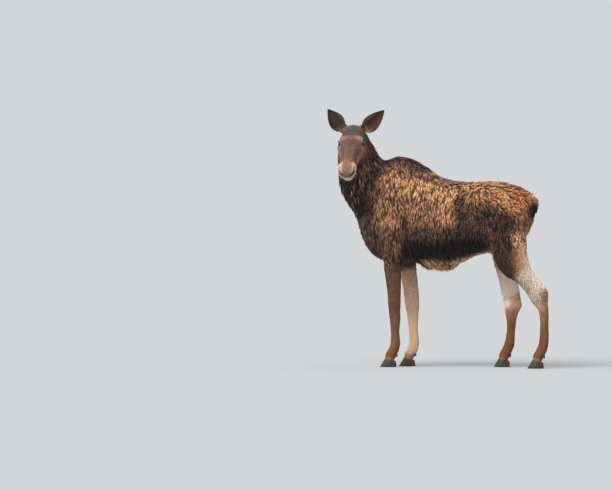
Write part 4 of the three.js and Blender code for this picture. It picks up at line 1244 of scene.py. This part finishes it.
def coat_piece(name, roots, made, kind, rng):
    """One mesh of tufts, each a tapered three-sided lock closed at its root and drawn to a point."""
    sections, profile = SECTIONS[kind]
    points = tuft_points(made, profile, rng)
    faces, map_places = tuft_faces(sections)
    mesh = tuft_mesh(name, points, faces)
    root_places = roots.within(roots.data.uv[roots.data.loops[roots.triangle]])
    uv = root_places[:, None] + PATCH * (np.concatenate([np.array(p) for p in map_places]) - 0.5)
    mesh.uv_layers.new(name="OFBake").data.foreach_set("uv", uv.ravel())
    colours = made[3]
    # Painted shade towards each tuft's root and a painted highlight at its tip, with less of the shade on
    # pale hair.
    shade = np.concatenate((np.repeat(ROOT_SHADE + 0.56 * np.array(sections), 3), [TIP_SHADE]))
    shade = shade + 0.6 * paleness(colours)[:, None] * np.maximum(1 - shade, 0)
    coloured(mesh, toned(np.repeat(colours[:, None], points.shape[1], axis=1), shade).reshape(-1, 3))
    return linked(name, mesh)


def build_coat(data):
    """All the coat's pieces, as (object, slot)."""
    rng = np.random.default_rng(11)
    over = Field.around(data.points, data.corners, VOXEL, COAT_BAND)
    roots = planted(data, rng)
    region = roots.first(data.shares).argmax(1)
    kinds = np.digitize(roots.first(data.length), list(LONGEST.values()))
    pieces = []
    for group, (regions, slot) in GROUPS.items():
        inside = np.isin(region, [body.names.index(name) for name in regions])
        for order, kind in enumerate(SECTIONS):
            chosen = roots.picked(np.flatnonzero(inside & (kinds == order)))
            if not len(chosen):
                continue
            made = grown(chosen, kind, over, rng)
            parts = math.ceil(len(chosen) * triangles_in(kind) / MOST_TRIANGLES)
            across = made[0][:, 0, 1].argsort()
            for n, which in enumerate(np.array_split(across, parts)):
                some = [values[which] for values in made]
                piece = coat_piece(f"coat_{group}_{kind}_{n + 1}", chosen.picked(which), some, kind, rng)
                pieces.append((piece, slot))
    return pieces


# ---------------------------------------------------------------- materials

class Nodes:
    """A material in the making: its shader, and the nodes that feed it."""

    def __init__(self, name):
        self.material = bpy.data.materials.new(name)
        self.material.use_nodes = True
        self.shader = self.material.node_tree.nodes["Principled BSDF"]

    def feed(self, node, inputs):
        """Gives a node's inputs their values, or the other nodes' outputs that they follow."""
        for name, value in inputs.items():
            if isinstance(value, bpy.types.NodeSocket):
                self.material.node_tree.links.new(value, node.inputs[name])
            else:
                node.inputs[name].default_value = value

    def add(self, kind, output, inputs, **settings):
        """A new node's output."""
        node = self.material.node_tree.nodes.new("ShaderNode" + kind)
        for name, value in settings.items():
            setattr(node, name, value)
        self.feed(node, inputs)
        return node.outputs[output]

    def noise(self, where, scale, detail):
        """A noise texture's output."""
        return self.add("TexNoise", "Fac", {"Vector": where, "Scale": scale, "Detail": detail})

    def marks(self, level, low, high, dark, light):
        """The colours that the mesh carries, from dark to light as level goes from low to high."""
        spread = {"Value": level, "From Min": low, "From Max": high, "To Min": dark, "To Max": light}
        colours = self.add("Attribute", "Color", {}, attribute_name="Coat")
        tone = self.add("MapRange", "Result", spread)
        return self.add("VectorMath", "Vector", {0: colours, "Scale": tone}, operation="SCALE")


def hair_material():
    """Hair: the markings it carries, with strands a little darker and lighter."""
    made = Nodes("hair")
    noise = made.noise(made.add("TexCoord", "Object", {}), 240, 3)
    made.feed(made.shader, {
        "Base Color": made.marks(noise, 0.3, 0.7, 0.78, 1.18), "Roughness": 0.58, "Specular IOR Level": 0.25,
        "Sheen Weight": 0.04, "Sheen Roughness": 0.5,
    })
    return made.material


def skin_material():
    """The skin: the coat's markings, a little darker, with short flat fur as streaked bump and colour."""
    made = Nodes("skin_fur")
    grain = made.add("Attribute", "Vector", {}, attribute_name="grain")
    noises = {0: made.noise(grain, 420, 4), 1: made.noise(grain, 60, 3)}
    total = made.add("Math", "Value", noises, operation="ADD")
    made.feed(made.shader, {
        "Base Color": made.marks(total, 0.7, 1.3, 0.55, 1.2), "Roughness": 0.62, "Specular IOR Level": 0.35,
        "Normal": made.add("Bump", "Normal", {"Height": total, "Strength": 0.6, "Distance": 0.0015}),
    })
    return made.material


def horn_material():
    """Hoof horn: nearly black, ringed and scratched, paler where it is worn."""
    made = Nodes("horn")
    place = made.add("TexCoord", "Object", {})
    noise = made.noise(made.add("Mapping", "Vector", {"Vector": place, "Scale": (0.25, 0.25, 1)}), 260, 5)
    colour = made.add("ValToRGB", "Color", {"Fac": noise})
    dark, pale = colour.node.color_ramp.elements
    dark.position, dark.color = 0.35, (0.012, 0.010, 0.009, 1)
    pale.position, pale.color = 0.72, (0.060, 0.048, 0.040, 1)
    bump = made.add("Bump", "Normal", {"Height": noise, "Strength": 0.5, "Distance": 0.001})
    made.feed(made.shader, {"Base Color": colour, "Roughness": 0.42, "Normal": bump})
    return made.material


def lash_material():
    """Nearly black hair."""
    made = Nodes("lash")
    made.feed(made.shader, {"Base Color": (0.012, 0.009, 0.008, 1), "Roughness": 0.5})
    return made.material


def eye_material():
    """The eye: dark and wet, with the ball's own colours."""
    made = Nodes("eye_dark")
    colours = made.add("Attribute", "Color", {}, attribute_name="Coat")
    made.feed(made.shader, {"Base Color": colours, "Roughness": 0.12, "Specular IOR Level": 0.30})
    return made.material


def mark_skin(mesh, data):
    """The markings, darker under longer hair as painted shade under the coat, less so under pale hair, and
    the grain of the short fur, on the skin's points.
    """
    shown = 0.92 - 0.52 * ramp(data.length, 0.014, 0.034) * (1 - 0.8 * paleness(data.colour))
    coloured(mesh, np.clip(data.colour * shown[:, None], 0, 1))
    face = headness(*in_head(data.points).T)[:, None]
    grain = face * in_head(data.points) * (1, 0.3, 1) + (1 - face) * data.points * (1, 1, 0.25)
    mesh.attributes.new("grain", "FLOAT_VECTOR", "POINT").data.foreach_set("vector", grain.ravel())


def unwrapped(thing):
    """A map named OFBake of the thing's own shape."""
    thing.data.uv_layers.new(name="OFBake")
    bpy.context.view_layer.objects.active = thing
    thing.select_set(True)
    bpy.ops.object.mode_set(mode="EDIT")
    bpy.ops.mesh.select_all(action="SELECT")
    bpy.ops.uv.smart_project(angle_limit=math.radians(66), island_margin=0.002)
    bpy.ops.object.mode_set(mode="OBJECT")
    thing.select_set(False)


# ---------------------------------------------------------------- eyes, claws and lashes

PUPIL, IRIS = (0.44, 0.26), 0.72  # half angles from the eye's middle, in radians: the pupil's two, the iris's
EYE_COLOURS = {"ball": (0.10, 0.07, 0.06), "iris": (0.20, 0.12, 0.08), "pupil": (0.04, 0.03, 0.04)}
HORN = {"cell": 0.0036, "worn": 9}  # the grid of a claw's mesh, and how often it is evened
LASHES = {"count": 26, "length": 0.015, "width": 0.0014}


def build_eye(side, name):
    """The eyeball: a ball with the clear front's slight bulge, coloured by angle from its middle."""
    centre, axes = eye_axes(side)
    mesh = simple_mesh(name, bmesh.ops.create_uvsphere, u_segments=72, v_segments=64, radius=EYE_RADIUS)
    points = places(mesh)
    x, y, z = points.T
    ahead = z / EYE_RADIUS
    pupil = 1 - ramp(np.hypot(np.arctan2(x, z) / PUPIL[0], np.arctan2(y, z) / PUPIL[1]), 0.88, 1.06)
    pupil = np.where(ahead > 0, pupil, 0)[:, None]
    iris = 1 - ramp(np.arccos(np.clip(ahead, -1, 1)), IRIS - 0.08, IRIS + 0.04)[:, None]
    spokes = 0.65 + 0.5 * (0.5 + 0.5 * np.sin(46 * np.arctan2(y, x)))[:, None]
    ball, brown, black = (linear(EYE_COLOURS[part]) for part in ("ball", "iris", "pupil"))
    colours = ball + iris * (brown * spokes - ball)
    coloured(mesh, colours + pupil * (black - colours))
    put(mesh, from_head(points * (1 + 0.04 * ramp(ahead, 0.80, 1.0)[:, None]) @ axes + centre))
    smooth_shaded(mesh)
    return linked(name, mesh)


def build_claw(node):
    """A claw of horn in its solid's place, with its edges worn round and its sole still flat."""
    claw = as_object("horn_" + node, *merged(node))
    grid = claw.modifiers.new("grid", "REMESH")
    grid.mode = "VOXEL"
    grid.voxel_size = HORN["cell"]
    grid.use_smooth_shade = True
    worn = claw.modifiers.new("worn", "SMOOTH")
    worn.factor = 0.5
    worn.iterations = HORN["worn"]
    apply_modifiers(claw)
    return claw


def build_lashes(side, name, rng):
    """The upper lid's lashes: tapered three-sided hairs fanned along its edge, drooping a little."""
    centre, axes = eye_axes(side)
    half = LASHES["width"] / 2
    corners = half * np.array(((-1, 0, 0), (1, 0, 0), (0, 1.2, 0)))
    hair_faces, _ = tuft_faces((0.0, 0.5))
    points, faces = [], []
    for share in np.linspace(-0.80, 0.92, LASHES["count"]):
        u = share * LID["half_length"]
        v = LID["upper"] * math.sqrt(1 - share * share) - lid_line(u)
        w = math.sqrt(max((EYE_RADIUS + LID["thick"]) ** 2 - u * u - v * v, 0)) - 0.001
        length = LASHES["length"] * (1 - 0.45 * share * share) * rng.uniform(0.8, 1.15)
        way = unit((0.55 * share + rng.normal(0, 0.12), 0.30 + rng.normal(0, 0.08), 0.85))
        faces += [tuple(len(points) + corner for corner in face) for face in hair_faces]
        for stop, thick, droop in ((0.0, 1.0, 0.0), (0.5, 0.8, -0.06), (1.0, 0.0, -0.28)):
            spot = np.array((u, v, w)) + length * (stop * way + np.array((0, droop, 0)))
            points += [spot + thick * corner for corner in corners] if thick else [spot]
    return as_object(name, from_head(np.array(points) @ axes + centre), faces)


# ---------------------------------------------------------------- camera, floor and light

VIEW_TURN = math.radians(15)  # the camera stands this far behind the moose's left side
ACROSS = Vector((-math.sin(VIEW_TURN), math.cos(VIEW_TURN), 0))  # to the right in the camera's view
AWAY = Vector((math.cos(VIEW_TURN), math.sin(VIEW_TURN), 0))  # from the moose towards the camera
VIEW_SIDE, VIEW_AWAY, VIEW_HEIGHT = -1.100, 43.05, 1.6  # the camera's place, by those two ways and up
VIEW_AIM = (-0.15, 1.034)  # the point that it looks at, by the second of them and up
LENS, SENSOR, SIGHT = 300, 36, 300  # millimetres, and how far it sees in metres


def build_camera():
    """A camera far off, so that it sees the moose with little perspective."""
    data = bpy.data.cameras.new("camera")
    data.lens, data.sensor_width, data.clip_end = LENS, SENSOR, SIGHT
    camera = linked("camera", data)
    camera.location = VIEW_SIDE * ACROSS + VIEW_AWAY * AWAY + Vector((0, 0, VIEW_HEIGHT))
    aim = VIEW_SIDE * ACROSS + VIEW_AIM[0] * AWAY + Vector((0, 0, VIEW_AIM[1]))
    camera.rotation_euler = (aim - camera.location).to_track_quat("-Z", "Y").to_euler()
    bpy.context.scene.camera = camera


FLOOR_RADIUS = 400
SKY = (0.66, 0.67, 0.68)  # the level all round, which the lit floor meets at the horizon
SUN_POWER, SUN_SOFT, SUN_COLOUR = 4.0, math.radians(50), (1.0, 0.97, 0.92)
SUN_PLACE = (-0.50, 0.55, 0.85)  # the way to the light, by the same two ways and up


def build_stage():
    """A plain pale floor under one broad soft light, from above on the left of the camera's view."""
    light = (SUN_PLACE[0] * ACROSS + SUN_PLACE[1] * AWAY + Vector((0, 0, SUN_PLACE[2]))).normalized()
    data = bpy.data.lights.new("sun", "SUN")
    data.energy, data.angle, data.color = SUN_POWER, SUN_SOFT, SUN_COLOUR
    linked("sun", data).rotation_euler = light.to_track_quat("Z", "Y").to_euler()

    mesh = simple_mesh("floor", bmesh.ops.create_circle, cap_ends=True, segments=96, radius=FLOOR_RADIUS)
    lit = SUN_POWER * light.z / math.pi
    albedo = [level / (level + lit * tint) for level, tint in zip(SKY, SUN_COLOUR)]
    pale = Nodes("floor_pale")
    pale.feed(pale.shader, {"Base Color": (*albedo, 1), "Roughness": 1, "Specular IOR Level": 0})
    mesh.materials.append(pale.material)
    linked("floor", mesh)

    world = bpy.data.worlds.new("sky")
    world.use_nodes = True
    world.node_tree.nodes["Background"].inputs["Color"].default_value = (*SKY, 1)
    bpy.context.scene.world = world
    bpy.context.scene.view_settings.view_transform = "Standard"


build_camera()
build_stage()

# ---------------------------------------------------------------- hand over

unwrapped(skin)
skin_data = SkinData(skin.data)
mark_skin(skin.data, skin_data)
skin.data.materials.clear()
skin.data.materials.append(skin_material())
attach(skin, "root")
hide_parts(*FLESH, "ear_left", "ear_right")

eye_dark, hair, horn, lash = eye_material(), hair_material(), horn_material(), lash_material()
for side, name, node in ((-1, "eyeball_left", "eye_left"), (1, "eyeball_right", "eye_right")):
    eye = build_eye(side, name)
    eye.data.materials.append(eye_dark)
    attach(eye, "root")
    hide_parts(node)

for piece, slot in build_coat(skin_data):
    piece.data.materials.append(hair)
    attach(piece, "root")

for node in CLAWS:
    claw = build_claw(node)
    claw.data.materials.append(horn)
    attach(claw, "root")
    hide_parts(node)

lash_rng = np.random.default_rng(3)
for side, name in ((-1, "lashes_left"), (1, "lashes_right")):
    lashes = build_lashes(side, name, lash_rng)
    unwrapped(lashes)
    lashes.data.materials.append(lash)
    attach(lashes, "root")
